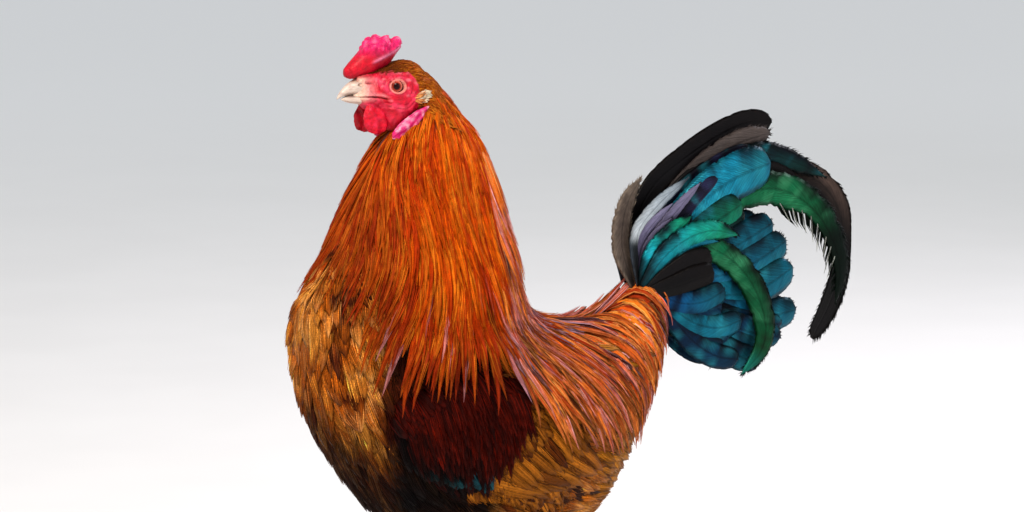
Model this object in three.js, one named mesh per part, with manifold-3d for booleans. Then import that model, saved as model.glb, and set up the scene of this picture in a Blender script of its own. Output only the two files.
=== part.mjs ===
// A life-size rooster standing alert: millimetres, +Z up, facing -Y, left side towards +X, soles on z = 0.
//
// Each form of the body is a tube of stations along one axis. The same tubes serve as solids, as distance
// fields that feathers are laid over, and, a little grown, as cutters that keep neighbours a hair apart.

import * as THREE from "three";
import { mergeVertices } from "three/addons/utils/BufferGeometryUtils.js";
import Module from "manifold-3d";

const wasm = await Module();
wasm.setup();

// ---------------------------------------------------------------- driving dimensions

const GAP = 0.35; // clearance between touching pieces
const SIDES = { left: 1, right: -1 };

// Rows are [place along the axis, centre, half width, reach to the low side, reach to the high side].
const TORSO = {
  along: "y",
  rows: [
    [-181, 374, 6, 6, 6],
    [-175, 372, 32, 40, 32],
    [-163, 366, 52, 74, 50],
    [-145, 356, 69, 93, 74],
    [-115, 338, 83, 115, 94],
    [-80, 318, 90, 128, 107],
    [-40, 300, 93, 132, 112],
    [0, 290, 93, 130, 107],
    [40, 288, 90, 122, 93],
    [80, 292, 80, 108, 79],
    [110, 302, 66, 88, 75],
    [135, 322, 50, 68, 69],
    [158, 348, 33, 50, 57],
    [176, 376, 18, 30, 31],
    [186, 390, 5, 8, 8],
  ],
};
const NECK = {
  along: "z",
  rows: [
    [340, -62, 76, 84, 74],
    [370, -64, 84, 92, 84],
    [400, -66, 86, 93, 89],
    [436, -65, 80, 87, 85],
    [475, -63, 69, 75, 73],
    [514, -59, 56, 60, 61],
    [549, -57, 42, 41, 45],
    [568, -54, 30, 21, 26],
    [585, -59, 21, 10, 19],
    [597, -62, 15, 6, 13],
    [604, -62, 7, 4, 6],
  ],
};
const HEAD = {
  along: "y",
  rows: [
    [-129, 588, 6, 6, 6],
    [-124, 589, 9, 10, 11],
    [-114, 590, 13.5, 17, 15],
    [-104, 592, 16.5, 24, 18],
    [-92, 593, 18, 30, 21],
    [-80, 594, 18.5, 30, 22],
    [-68, 592, 17, 24, 21],
    [-60, 590, 12, 15, 15],
  ],
};
const THROAT = { y: -91, z: 569, x: 17, long: 14, high: 14 };
const COMB = {
  along: "y",
  rows: [
    [-136, 606, 3.5, 3.5, 3.5],
    [-131, 608, 7.5, 7, 7],
    [-124, 612, 10, 9.5, 12],
    [-116, 616, 11.5, 12, 18.5],
    [-108, 620, 12, 14, 18],
    [-98, 624, 12.5, 14, 12.5],
    [-91, 628, 12, 13, 9],
    [-85, 630.5, 10.5, 8, 5.5],
    [-81, 631, 5, 4, 4],
  ],
};
const COMB_BEADS = { rows: 3, across: 3, radius: 4.6, from: -113, step: 10.5 };

const EYE = { x: 14.2, y: -94, z: 597, radius: 5.8, lid: 6.9, lidThick: 1.6, lidOut: 2.4 };
const NOSTRIL = { x: 8.2, y: -123, z: 596.5, long: 3.6, high: 1.5 };
const MOUTH = { x: 13.5, y: -104, z: 584.5, long: 13, high: 0.9 };
const EAR = { x: 17.5, y: -71, z: 584.5, radius: 6, thick: 3.6 };
const LOBE = { x: 19.5, y: -83, z: 562.5, long: 20, wide: 5.2, thick: 3.4, lean: 0.93 };
const WATTLE = { x: 9.5, y: -111, z: 569, high: 15.5, deep: 12, thick: 4, splay: 0.16, lean: 0.12 };

const BEAK_UPPER = [
  // [y, centre z, half width, reach down, reach up]
  [-112, 594, 8, 5.4, 7],
  [-121, 594.5, 7.4, 5.2, 7.6],
  [-129, 593.2, 5.8, 4.2, 6],
  [-136, 590.8, 3.8, 3, 4.2],
  [-141, 588, 2, 2.2, 2.4],
  [-143.5, 585.2, 0.7, 0.9, 0.9],
];
const BEAK_LOWER = [
  [-112, 583.5, 6.8, 4.6, 4.2],
  [-121, 583.6, 6, 4.2, 4.2],
  [-129, 583.8, 4.6, 3.2, 3.6],
  [-135, 584.2, 3, 2.2, 2.4],
  [-139.5, 584.6, 0.9, 0.8, 0.8],
];

const HACKLE = {
  tiers: [561, 533, 503, 470, 436],
  counts: [8, 8, 9, 10, 11],
  length: [70, 90, 104, 112, 110],
  fill: 0.8, // share of the ring that a tier's locks cover
  thick: 1.1,
  sunk: 3,
  lift: 7.2,
};
const SADDLE = {
  plate: 3, // thickness of the bed the feathers grow from
  front: 8,
  rear: 141,
  below: 372, // the bed's lower edge in front, and how far it drops to the rear
  drop: -30,
  rows: [16, 46, 76, 106],
  perSide: 4,
  spread: [0.1, 1.0], // radians from the spine to the lowest root
  length: [108, 84], // at the front row, at the rear row
  width: 16,
  thick: 1.1,
  sunk: 2.2,
  lift: 5.6,
};

const WING = {
  y: -30,
  z: 290,
  droop: 0.28, // radians that the folded wing slopes down to the rear
  long: 116,
  high: 60,
  edge: 1.8,
  swell: 9,
};
const OVER_WING = 8.6; // room over the wing's form for its own feathers
// Tiers of wing feathers from the lowest to the topmost. Roots run from the first [u, w] to the second;
// angle is below the wing's own axis, in degrees.
const WING_TIERS = [
  { n: 2, from: [20, -42], to: [40, -28], length: [92, 92], angle: [1, 6], wide: 12, lift: 2.4 },
  { n: 6, from: [-58, -36], to: [36, 16], length: [118, 92], angle: [4, 16], wide: 19, lift: 4.2 },
  { n: 5, from: [-96, -6], to: [4, 4], length: [46, 50], angle: [44, 50], wide: 22, lift: 5.4 },
  { n: 4, from: [-80, 18], to: [4, 26], length: [44, 46], angle: [48, 52], wide: 24, lift: 6 },
  { n: 3, from: [-56, 39], to: [4, 46], length: [38, 40], angle: [50, 52], wide: 25, lift: 6.4 },
];

const TAIL_ROOT = { y: 168, z: 402, radius: 19 };
// How a feather's width goes from quill to tip: pairs of place and share of its full width.
const ROUND = [[0, 0.3], [0.24, 0.74], [0.6, 1], [0.86, 0.86], [0.965, 0.46], [1, 0]];
const ARCHED = [[0, 0.26], [0.16, 0.66], [0.34, 0.94], [0.52, 1], [0.7, 0.9], [0.87, 0.6], [1, 0]];
const SICKLE = [[0, 0.2], [0.12, 0.54], [0.24, 0.84], [0.37, 1], [0.5, 1], [0.62, 0.98], [0.74, 0.9],
  [0.86, 0.68], [0.95, 0.36], [1, 0]];
// Tail feathers: sides, how far out they start and end, width, outline, then the curve as [y, z] places.
const BOTH = [1, -1];
const TAIL_FEATHERS = [
  { sides: [1], out: [9, 11], wide: 18, shape: ROUND,
    line: [[150, 400], [134, 439], [131, 461], [135, 486], [151, 508]] },
  { sides: [-1], out: [7, 8], wide: 13, shape: ROUND,
    line: [[156, 400], [146, 436], [146, 458], [152, 484]] },
  { sides: [-1], out: [2, 5], wide: 19, shape: ROUND,
    line: [[160, 405], [163, 465], [180, 492], [210, 513], [250, 534], [280, 544], [307, 545]] },
  { sides: [1], out: [1, 1], wide: 17, shape: ROUND,
    line: [[164, 405], [174, 463], [196, 489], [228, 508], [264, 526], [303, 538]] },
  { sides: BOTH, out: [12, 15], wide: 12, shape: ARCHED,
    line: [[152, 402], [150, 450], [172, 477], [203, 499]] },
  { sides: BOTH, out: [8, 12], wide: 32, shape: ROUND,
    line: [[160, 402], [192, 452], [222, 482], [255, 503], [292, 518]] },
  { sides: BOTH, out: [9, 11], wide: 30, shape: ROUND,
    line: [[160, 402], [206, 443], [240, 463], [270, 481], [291, 494]] },
  { sides: BOTH, out: [3, 4], wide: 20, shape: ARCHED,
    line: [[164, 405], [210, 470], [252, 505], [289, 519], [322, 512], [360, 495]] },
  { sides: [1], out: [7, 10], wide: 25, shape: SICKLE, until: 0.53,
    line: [[164, 403], [210, 449], [253, 478], [292, 488], [323, 480], [352, 460], [370, 431], [377, 404],
      [371, 376]] },
  { sides: [-1], out: [5, 8], wide: 22, shape: SICKLE, until: 0.46,
    line: [[166, 403], [216, 452], [264, 482], [308, 496], [341, 494], [368, 480], [386, 455], [392, 424], [387, 393],
      [376, 364], [357, 334]] },
  { sides: BOTH, out: [15, 21], wide: 18, shape: ARCHED,
    line: [[154, 402], [166, 434], [184, 451], [204, 464]] },
  { sides: BOTH, out: [17, 25], wide: 18, shape: ARCHED,
    line: [[154, 402], [178, 434], [202, 448], [226, 452], [252, 444]] },
  { sides: BOTH, out: [13, 27], wide: 21, shape: SICKLE,
    line: [[160, 400], [190, 430], [219, 435], [248, 421], [269, 399], [281, 373], [284, 350], [277, 332], [256, 313]] },
  { sides: BOTH, out: [6, 9], wide: 30, shape: ROUND,
    line: [[166, 404], [216, 432], [260, 443], [290, 449], [313, 449]] },
  { sides: BOTH, out: [7, 11], wide: 30, shape: ROUND,
    line: [[166, 403], [224, 418], [272, 424], [315, 430]] },
  { sides: BOTH, out: [8, 13], wide: 30, shape: ROUND,
    line: [[166, 402], [232, 405], [280, 404], [322, 408]] },
  { sides: BOTH, out: [9, 15], wide: 29, shape: ROUND,
    line: [[166, 400], [230, 389], [283, 373], [327, 371]] },
  { sides: BOTH, out: [10, 16], wide: 28, shape: ROUND,
    line: [[166, 398], [222, 373], [268, 352], [306, 343]] },
  { sides: BOTH, out: [11, 16], wide: 27, shape: ROUND,
    line: [[166, 396], [212, 358], [250, 333], [284, 320]] },
  { sides: BOTH, out: [16, 25], wide: 20, shape: ROUND,
    line: [[168, 398], [197, 389], [223, 394], [246, 402]] },
  { sides: BOTH, out: [15, 22], wide: 19, shape: ROUND,
    line: [[170, 396], [212, 372], [244, 367], [273, 372]] },
  { sides: BOTH, out: [14, 20], wide: 18, shape: ROUND,
    line: [[170, 394], [208, 356], [236, 336], [266, 322]] },
];

const LEG = {
  hip: [46, -26, 222],
  hock: [46, 14, 118],
  foot: [47, -20, 13],
  shankRadius: 7.4,
  scutes: 9,
  scuteRise: 0.7,
};
const THIGH_RADII = [38, 40, 38, 30, 20, 12.4];
const TOES = {
  // heading from straight ahead in degrees (outwards positive), length, radius at the root
  inner: { heading: -32, length: 52, radius: 6.2, joints: 4, splits: true },
  middle: { heading: 2, length: 68, radius: 6.6, joints: 5 },
  outer: { heading: 36, length: 55, radius: 6.2, joints: 4, splits: true },
  hind: { heading: 176, length: 27, radius: 5.4, joints: 3 },
};
const FOOT_PAD = { radius: 11.5, high: 19 };
const CLAW = { length: 15, droop: 0.32 };
const SPUR = { z: 62, length: 24, radius: 4.6 };

// ---------------------------------------------------------------- colours and finishes

const finish = (color, roughness, metalness = 0) => new THREE.MeshStandardMaterial({ color, roughness, metalness });
const MATERIALS = {
  hackle: finish(0xb5500f, 0.5),
  body: finish(0x7a3a12, 0.6),
  wing: finish(0x5a1d0c, 0.5),
  tail: finish(0x0c2a2c, 0.3),
  skin: finish(0xc8102e, 0.45),
  lobe: finish(0xd8326e, 0.45),
  horn: finish(0xe6d9b8, 0.4),
  scale: finish(0xd9b04a, 0.5),
  claw: finish(0xb9a27a, 0.4),
  eye: finish(0xd0702a, 0.1),
};

// ---------------------------------------------------------------- small helpers

const v3 = (x, y, z) => new THREE.Vector3(x, y, z);
const mix = (a, b, t) => a + (b - a) * t;
const clamp = (x, lo, hi) => Math.min(hi, Math.max(lo, x));

// A seeded stream of numbers from -1 to 1.
function stream(seed) {
  let state = seed;
  return () => {
    state = (state * 1664525 + 1013904223) % 4294967296;
    return (state / 4294967296) * 2 - 1;
  };
}

// Smooth values of a table's columns at place t of its first column.
function sample(rows, t) {
  const last = rows.length - 1;
  const u = clamp(t, rows[0][0], rows[last][0]);
  let i = 0;
  while (i < last - 1 && u > rows[i + 1][0]) i++;
  const step = rows[i + 1][0] - rows[i][0];
  const s = (u - rows[i][0]) / step;
  const slope = (k, c) => {
    const a = Math.max(k - 1, 0);
    const b = Math.min(k + 1, last);
    return ((rows[b][c] - rows[a][c]) / (rows[b][0] - rows[a][0])) * step;
  };
  return rows[i].slice(1).map((value, k) => {
    const c = k + 1;
    const next = rows[i + 1][c];
    const [m0, m1] = [slope(i, c), slope(i + 1, c)];
    const [s2, s3] = [s * s, s * s * s];
    return value * (2 * s3 - 3 * s2 + 1) + m0 * (s3 - 2 * s2 + s) + next * (3 * s2 - 2 * s3) + m1 * (s3 - s2);
  });
}

// A point of a tube form at place t and angle a round it, grown outwards by grow.
function formPoint(form, t, a, grow = 0) {
  const [centre, side, low, high] = sample(form.rows, t);
  const across = (side + grow) * Math.cos(a);
  const other = centre + ((Math.sin(a) > 0 ? high : low) + grow) * Math.sin(a);
  return form.along === "y" ? v3(across, t, other) : v3(across, other, t);
}

// Radial distance of p outside a tube form, negative inside.
function radial(form, p) {
  const [t, other] = form.along === "y" ? [p.y, p.z] : [p.z, p.y];
  const rows = form.rows;
  const [centre, side, low, high] = sample(rows, t);
  const reach = other > centre ? high : low;
  const r = Math.hypot(p.x, other - centre);
  const q = Math.hypot(p.x / side, (other - centre) / reach);
  const past = Math.max(rows[0][0] - t, t - rows[rows.length - 1][0], 0);
  const shell = r * (1 - 1 / Math.max(q, 1e-3));
  return past > 0 ? Math.hypot(past, Math.max(shell, 0)) : shell;
}

// The gradient of a field at p, by small steps.
function gradient(field, p, step = 0.4) {
  const at = (x, y, z) => field(v3(p.x + x, p.y + y, p.z + z));
  return v3(
    at(step, 0, 0) - at(-step, 0, 0),
    at(0, step, 0) - at(0, -step, 0),
    at(0, 0, step) - at(0, 0, -step),
  ).divideScalar(2 * step);
}

// True distance near a form's surface.
function distanceTo(form) {
  const field = (p) => radial(form, p);
  return (p) => field(p) / Math.max(gradient(field, p).length(), 0.2);
}

// The lesser of two distances, rounded over a band of k.
function softMin(a, b, k) {
  const h = clamp(0.5 + (0.5 * (b - a)) / k, 0, 1);
  return mix(b, a, h) - k * h * (1 - h);
}

// Moves p along the field's slope until it is height above the surface.
function settle(field, p, height) {
  const q = p.clone();
  for (let i = 0; i < 9; i++) {
    const g = gradient(field, q);
    const miss = height - field(q);
    q.addScaledVector(g, clamp(miss, -25, 25) / Math.max(g.lengthSq(), 0.2));
  }
  return q;
}

// ---------------------------------------------------------------- solids

// A closed surface through rings of points; a ring of one point is a tip.
function sweep(rings) {
  const positions = [];
  const first = rings.map((ring) => {
    const start = positions.length / 3;
    ring.forEach((p) => positions.push(p.x, p.y, p.z));
    return start;
  });
  const index = [];
  for (let i = 0; i < rings.length - 1; i++) {
    const [a, b] = [first[i], first[i + 1]];
    const [na, nb] = [rings[i].length, rings[i + 1].length];
    for (let j = 0; j < Math.max(na, nb); j++) {
      const k = (j + 1) % Math.max(na, nb);
      if (na === 1) index.push(a, b + k, b + j);
      else if (nb === 1) index.push(a + j, a + k, b);
      else if (j % 2 === 0) index.push(a + j, a + k, b + k, a + j, b + k, b + j);
      else index.push(a + j, a + k, b + j, a + k, b + k, b + j);
    }
  }
  const cap = (start, n, flip) => {
    for (let j = 1; j < n - 1; j++) index.push(start, start + (flip ? j + 1 : j), start + (flip ? j : j + 1));
  };
  const last = rings.length - 1;
  if (rings[0].length > 1) cap(first[0], rings[0].length, true);
  if (rings[last].length > 1) cap(first[last], rings[last].length, false);
  const geometry = new THREE.BufferGeometry();
  geometry.setAttribute("position", new THREE.BufferAttribute(new Float32Array(positions), 3));
  geometry.setIndex(index);
  return geometry;
}

// A manifold solid of any closed three.js geometry, turned to face outwards.
function solidOf(geometry, matrix) {
  const g = geometry.clone();
  g.deleteAttribute("normal");
  g.deleteAttribute("uv");
  if (matrix) g.applyMatrix4(matrix);
  const merged = mergeVertices(g, 1e-4);
  const build = (triVerts) =>
    new wasm.Manifold(new wasm.Mesh({ numProp: 3, vertProperties: merged.attributes.position.array, triVerts }));
  const faces = new Uint32Array(merged.index.array);
  const made = build(faces);
  if (made.volume() > 0) return made;
  for (let i = 0; i < faces.length; i += 3) [faces[i + 1], faces[i + 2]] = [faces[i + 2], faces[i + 1]];
  return build(faces);
}

// A tube form as a solid, between two places, with a number of rings and of sides.
function formSolid(form, { grow = 0, rings = 16, sides = 20, from, to } = {}) {
  const rows = form.rows;
  const [lo, hi] = [from ?? rows[0][0], to ?? rows[rows.length - 1][0]];
  const loops = [];
  for (let i = 0; i <= rings; i++) {
    // More rings where the ends round off.
    const s = 0.5 - 0.5 * Math.cos((Math.PI * i) / rings);
    const t = mix(lo, hi, mix(i / rings, s, 0.55));
    loops.push(Array.from({ length: sides }, (_, j) => formPoint(form, t, (2 * Math.PI * j) / sides, grow)));
  }
  if (grow) {
    const unit = form.along === "y" ? v3(0, grow, 0) : v3(0, 0, grow);
    loops[0].forEach((p) => p.sub(unit));
    loops[rings].forEach((p) => p.add(unit));
  }
  return solidOf(sweep(loops));
}

// A blade: a flat, tapered, bent feather along points, with the way along and across at each.
function blade(points, ways, across, widths, thick) {
  const rings = points.map((p, i) => {
    if (widths[i] === 0) return [p];
    const along = ways[i];
    const side = across[i].clone().addScaledVector(along, -across[i].dot(along)).normalize();
    const up = side.clone().cross(along).normalize();
    const half = thick / 2;
    return [
      p.clone().addScaledVector(side, widths[i]),
      p.clone().addScaledVector(up, half),
      p.clone().addScaledVector(side, -widths[i]),
      p.clone().addScaledVector(up, -half),
    ];
  });
  return solidOf(sweep(rings));
}

// A blade that follows a surface from root along a flow, its edges wrapped round it, from sunk up to lift.
function surfaceBlade(field, root, flow, size) {
  const steps = size.steps ?? 4;
  const profile = size.profile ?? [0.55, 1, 0.96, 0.66, 0];
  const rings = [];
  let p = root.clone();
  for (let i = 0; i <= steps; i++) {
    const t = i / steps;
    const height = mix(-size.sunk, size.lift, t);
    const seat = settle(field, p, height);
    const normal = gradient(field, seat).normalize();
    const way = flow(seat, t);
    way.addScaledVector(normal, -way.dot(normal)).normalize();
    const side = normal.clone().cross(way);
    const half = (size.wide / 2) * sampleList(profile, t);
    const edge = (sign) => settle(field, seat.clone().addScaledVector(side, sign * half), height);
    const ridge = seat.clone().addScaledVector(normal, size.thick);
    rings.push(i === steps ? [ridge] : [edge(1), ridge, edge(-1)]);
    p = seat.clone().addScaledVector(way, size.length / steps);
  }
  return solidOf(sweep(rings));
}

// Linear value of a list at t from 0 to 1.
function sampleList(list, t) {
  const x = t * (list.length - 1);
  const i = Math.min(Math.floor(x), list.length - 2);
  return mix(list[i], list[i + 1], x - i);
}

// A feather whose midline runs along a curve of [y, z] places, from out[0] to out[1] off the middle plane.
// A part of it runs between two shares of its length.
function quilled(sign, { out, wide, shape, line, thick = 1.3 }, from = 0, until = 1) {
  const last = line.length - 1;
  const curve = new THREE.CatmullRomCurve3(line.map(([y, z], i) => v3(sign * mix(...out, i / last), y, z)));
  const width = (t) => sample(shape, t)[0];
  const inner = shape.map(([t]) => t).filter((t) => t > from + 0.03 && t < until - 0.03);
  const places = [from, ...inner, until];
  const ways = places.map((t) => curve.getTangentAt(t));
  const across = ways.map((way) => v3(sign * 0.12, -way.z, way.y));
  const widths = places.map((t) => (t === 1 ? 0 : (wide / 2) * width(t)));
  return blade(places.map((t) => curve.getPointAt(t)), ways, across, widths, thick);
}

const join = (list) => wasm.Manifold.union(list);

// Keeps the largest closed body of a solid.
function whole(made) {
  const bodies = made.decompose();
  return bodies.reduce((a, b) => (b.volume() > a.volume() ? b : a));
}

const ball = (x, y, z, rx, ry, rz, detail = 10) =>
  solidOf(
    new THREE.SphereGeometry(1, detail, Math.max(6, Math.round(detail * 0.6))),
    new THREE.Matrix4().makeTranslation(x, y, z).scale(v3(rx, ry, rz)),
  );

// ---------------------------------------------------------------- fields that feathers lie over

const torsoDistance = distanceTo(TORSO);
const neckDistance = distanceTo(NECK);
const bodyField = (p) => softMin(torsoDistance(p), neckDistance(p), 26);

// Wing coordinates of a point: u to the rear along the folded wing, w up across it, and the share r to its rim.
function wingPlace(p) {
  const [dy, dz] = [p.y - WING.y, p.z - WING.z];
  const u = dy * Math.cos(WING.droop) - dz * Math.sin(WING.droop);
  const w = dy * Math.sin(WING.droop) + dz * Math.cos(WING.droop);
  return { u, w, r: Math.hypot(u / WING.long, w / WING.high) };
}

// The wing form's thickness over the torso at share r to its rim.
const wingCover = (r) => WING.edge + (r < 1 ? WING.swell * (1 - r ** 2.4) : 0);

// The outer surface that the hackle and the saddle lie over: body, and wings with room for their feathers.
function coveredField(p) {
  const { r } = wingPlace(p);
  const t = clamp((1.62 - r) / 0.42, 0, 1);
  return bodyField(p) - (wingCover(r) + OVER_WING) * t * t * (3 - 2 * t);
}

// The same with the saddle's bed over the back.
function backField(p) {
  const t = clamp((p.y - SADDLE.front + 14) / 14, 0, 1);
  return coveredField(p) - SADDLE.plate * t * t * (3 - 2 * t);
}

// ---------------------------------------------------------------- the trunk

// The torso and the hair's breadth round it that its neighbours keep clear.
const torsoRoom = () => formSolid(TORSO, { grow: GAP, rings: 16, sides: 20 });

function neckSolid() {
  const core = formSolid(NECK, { rings: 10, sides: 18 });
  const locks = [];
  const random = stream(7);
  HACKLE.tiers.forEach((z, tier) => {
    const n = HACKLE.counts[tier];
    for (let k = 0; k < n; k++) {
      const a = (2 * Math.PI * (k + (tier % 2) / 2 + 0.12 * random())) / n;
      const root = formPoint(NECK, z + 4 * random(), a);
      const low = clamp((470 - z) / 60, 0, 1);
      const flow = (p) => v3(0.1 * Math.sign(p.x), 0.05 + 0.5 * low * clamp((p.y + 70) / 90, -0.25, 1), -1);
      const ring = sample(NECK.rows, z - 28);
      const wide = ((Math.PI * (ring[1] + (ring[2] + ring[3]) / 2)) / n) * HACKLE.fill;
      const front = clamp(-(root.y + 84) / 60, 0, 1);
      const length = HACKLE.length[tier] * (1 - 0.42 * front * front) * (1 + 0.06 * random());
      locks.push(
        surfaceBlade(backField, settle(bodyField, root, 0), flow, {
          length,
          wide,
          thick: HACKLE.thick,
          sunk: HACKLE.sunk,
          lift: HACKLE.lift * (1 - 0.45 * front) + 1.2 * (k % 2),
          profile: [0.55, 1, 0.96, 0.66, 0],
        }),
      );
    }
  });
  const cuts = [torsoRoom(), formSolid(HEAD, { grow: GAP, rings: 9, sides: 14 }), throatSolid(GAP)];
  for (const sign of Object.values(SIDES)) cuts.push(dropSolid(sign, LOBE_SHAPE, GAP), earSolid(sign, GAP));
  return whole(core.add(join(locks).subtract(saddleBed(2 * GAP))).subtract(join(cuts)));
}

const torsoSolid = () => formSolid(TORSO, { rings: 16, sides: 20 });

// A slab that keeps what lies above a plane sloping from front to rear.
function saddleSlab() {
  const { front, rear, below, drop } = SADDLE;
  const shape = new THREE.Shape();
  shape.moveTo(front, below).lineTo(rear, below + drop).lineTo(rear, 480).lineTo(front, 480).closePath();
  const slab = new THREE.ExtrudeGeometry(shape, { depth: 240, bevelEnabled: false });
  // The outline's plane turns from x, y to the bird's y, z.
  const turn = new THREE.Matrix4().makeBasis(v3(0, 1, 0), v3(0, 0, 1), v3(1, 0, 0)).setPosition(-120, 0, 0);
  return solidOf(slab, turn);
}

const saddleBed = (grow = 0) =>
  formSolid(TORSO, { grow: SADDLE.plate + grow, rings: 16, sides: 20 }).intersect(saddleSlab());

function saddleSolid() {
  const bed = saddleBed().subtract(formSolid(NECK, { grow: GAP, rings: 10, sides: 18 }));
  const locks = [];
  const random = stream(19);
  const last = SADDLE.rows.length - 1;
  for (const sign of Object.values(SIDES)) {
    SADDLE.rows.forEach((y, row) => {
      for (let k = 0; k < SADDLE.perSide; k++) {
        const share = (k + 0.5 * (row % 2) + 0.1 * random()) / SADDLE.perSide;
        const turn = mix(...SADDLE.spread, share);
        const root = formPoint(TORSO, y + 3 * random(), Math.PI / 2 - sign * turn);
        const flow = (p, t) => v3(sign * (0.9 - 0.6 * t), 0.42 + 0.2 * (row / last), -0.2 - 0.95 * t);
        locks.push(
          surfaceBlade(backField, settle(torsoDistance, root, 0), flow, {
            length: mix(...SADDLE.length, row / last) * (1 + 0.06 * random()) * mix(0.8, 1, share),
            wide: SADDLE.width,
            thick: SADDLE.thick,
            sunk: SADDLE.sunk,
            lift: SADDLE.lift + 1.1 * (k % 2),
            profile: [0.6, 1, 0.95, 0.66, 0],
          }),
        );
      }
    });
  }
  const rooms = Object.values(SIDES).map((sign) => wingRoom(sign));
  return whole(join([bed, ...locks]).subtract(join([torsoRoom(), ...rooms])));
}

// ---------------------------------------------------------------- wings

// The point over the torso at wing coordinates u and w, at a height.
function overWing(sign, u, w, height) {
  const y = WING.y + u * Math.cos(WING.droop) + w * Math.sin(WING.droop);
  const z = WING.z - u * Math.sin(WING.droop) + w * Math.cos(WING.droop);
  return settle(torsoDistance, v3(sign * 92, y, z), height);
}

// Rings of points over the wing's ellipse, at a height for each share of the way to its rim.
function wingRings(sign, shares, sectors, height) {
  return shares.map((r) => {
    if (r === 0) return [overWing(sign, 0, 0, height(0))];
    return Array.from({ length: sectors }, (_, j) => {
      const a = (2 * Math.PI * j) / sectors;
      return overWing(sign, r * WING.long * Math.cos(a), r * WING.high * Math.sin(a), height(r));
    });
  });
}

// The space that the wing and its feathers may take.
function wingRoom(sign) {
  const shares = [0, 0.5, 0.9, 1.24];
  const outer = wingRings(sign, shares, 18, (r) => wingCover(r) + OVER_WING - 1.2);
  const [rim] = wingRings(sign, shares.slice(-1), 18, () => -2.5);
  return solidOf(sweep([...outer, rim]));
}

function wingSolid(sign) {
  const shares = [0, 0.4, 0.74, 0.93, 1];
  const outer = wingRings(sign, shares, 18, wingCover);
  const [rim] = wingRings(sign, [1], 18, () => -2.5);
  const core = solidOf(sweep([...outer, rim]));
  const field = (p) => torsoDistance(p) - wingCover(wingPlace(p).r);
  const feathers = WING_TIERS.flatMap((tier) =>
    Array.from({ length: tier.n }, (_, k) => {
      const t = k / (tier.n - 1);
      const [u, w] = [0, 1].map((i) => mix(tier.from[i], tier.to[i], t));
      const angle = WING.droop + THREE.MathUtils.degToRad(mix(...tier.angle, t));
      const size = {
        length: mix(...tier.length, t),
        wide: tier.wide,
        thick: 0.9,
        sunk: 1.8,
        lift: tier.lift + 1 * (k % 2),
        profile: [0.55, 0.95, 1, 0.86, 0],
      };
      return surfaceBlade(field, overWing(sign, u, w, 2), () => v3(0, Math.cos(angle), -Math.sin(angle)), size);
    }),
  );
  return whole(join([core, ...feathers]).subtract(torsoRoom()));
}

// ---------------------------------------------------------------- tail

function tailSolid() {
  const r = TAIL_ROOT.radius;
  const boss = ball(0, TAIL_ROOT.y + 6, TAIL_ROOT.z, r * 0.9, r * 1.3, r, 14);
  const vanes = TAIL_FEATHERS.flatMap((f) => f.sides.map((sign) => quilled(sign, f, 0, f.until)));
  return whole(join([boss, ...vanes]).subtract(torsoRoom()));
}

// The free arc of a side's great sickle, from where it leaves the fan.
function sickleSolid(sign) {
  const f = TAIL_FEATHERS.find(({ sides, until }) => until && sides.includes(sign));
  return quilled(sign, f, f.until + 0.0012, 1);
}

// ---------------------------------------------------------------- head

function beakSolid(rows, grow = 0, sides = 8) {
  const form = { along: "y", rows: [...rows].reverse() };
  return formSolid(form, { rings: 6, sides, grow });
}

function earSolid(sign, grow = 0) {
  const [thick, long, high] = [EAR.thick, EAR.radius, EAR.radius * 0.72].map((r) => r + grow);
  return ball(sign * EAR.x, EAR.y, EAR.z, thick, long, high, 8);
}

function throatSolid(grow = 0) {
  return ball(0, THROAT.y, THROAT.z, THROAT.x + grow, THROAT.long + grow, THROAT.high + grow, 10);
}

function upperBeakSolid() {
  const slits = Object.values(SIDES).map((sign) =>
    ball(sign * NOSTRIL.x, NOSTRIL.y, NOSTRIL.z, 2.2, NOSTRIL.long, NOSTRIL.high, 8),
  );
  return whole(beakSolid(BEAK_UPPER).subtract(join(slits)));
}

function headSolid() {
  const parts = [formSolid(HEAD, { rings: 9, sides: 14 }), throatSolid()];
  const cuts = [];
  for (const sign of Object.values(SIDES)) {
    const place = new THREE.Matrix4().makeTranslation(sign * (EYE.x + EYE.lidOut), EYE.y, EYE.z);
    const turn = new THREE.Matrix4().makeRotationY(Math.PI / 2);
    const lids = new THREE.TorusGeometry(EYE.lid, EYE.lidThick, 4, 10).scale(0.9, 1.12, 1);
    parts.push(solidOf(lids, place.multiply(turn)));
    parts.push(earSolid(sign));
    cuts.push(eyeSolid(sign, GAP));
    cuts.push(ball(sign * MOUTH.x, MOUTH.y, MOUTH.z, 4.5, MOUTH.long, MOUTH.high, 8));
  }
  cuts.push(beakSolid(BEAK_UPPER, GAP), beakSolid(BEAK_LOWER, GAP));
  return whole(join(parts).subtract(join(cuts)));
}

function combSolid() {
  const parts = [formSolid(COMB, { rings: 8, sides: 12 })];
  const random = stream(3);
  for (let i = 0; i < COMB_BEADS.rows; i++) {
    for (let j = 0; j < COMB_BEADS.across; j++) {
      const y = COMB_BEADS.from + i * COMB_BEADS.step + 1.2 * random();
      const x = (j - (COMB_BEADS.across - 1) / 2) * 6.2 + 0.8 * random();
      const [centre, side, , high] = sample(COMB.rows, y);
      const top = centre + high * Math.sqrt(Math.max(0, 1 - (x / side) ** 2));
      const r = COMB_BEADS.radius * (1 + 0.18 * random());
      const spot = new THREE.Matrix4().makeTranslation(x, y, top - 1);
      parts.push(solidOf(new THREE.IcosahedronGeometry(r), spot));
    }
  }
  const cut = [formSolid(HEAD, { grow: GAP, rings: 9, sides: 14 }), beakSolid(BEAK_UPPER, GAP)];
  return whole(join(parts).subtract(join(cut)));
}

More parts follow.
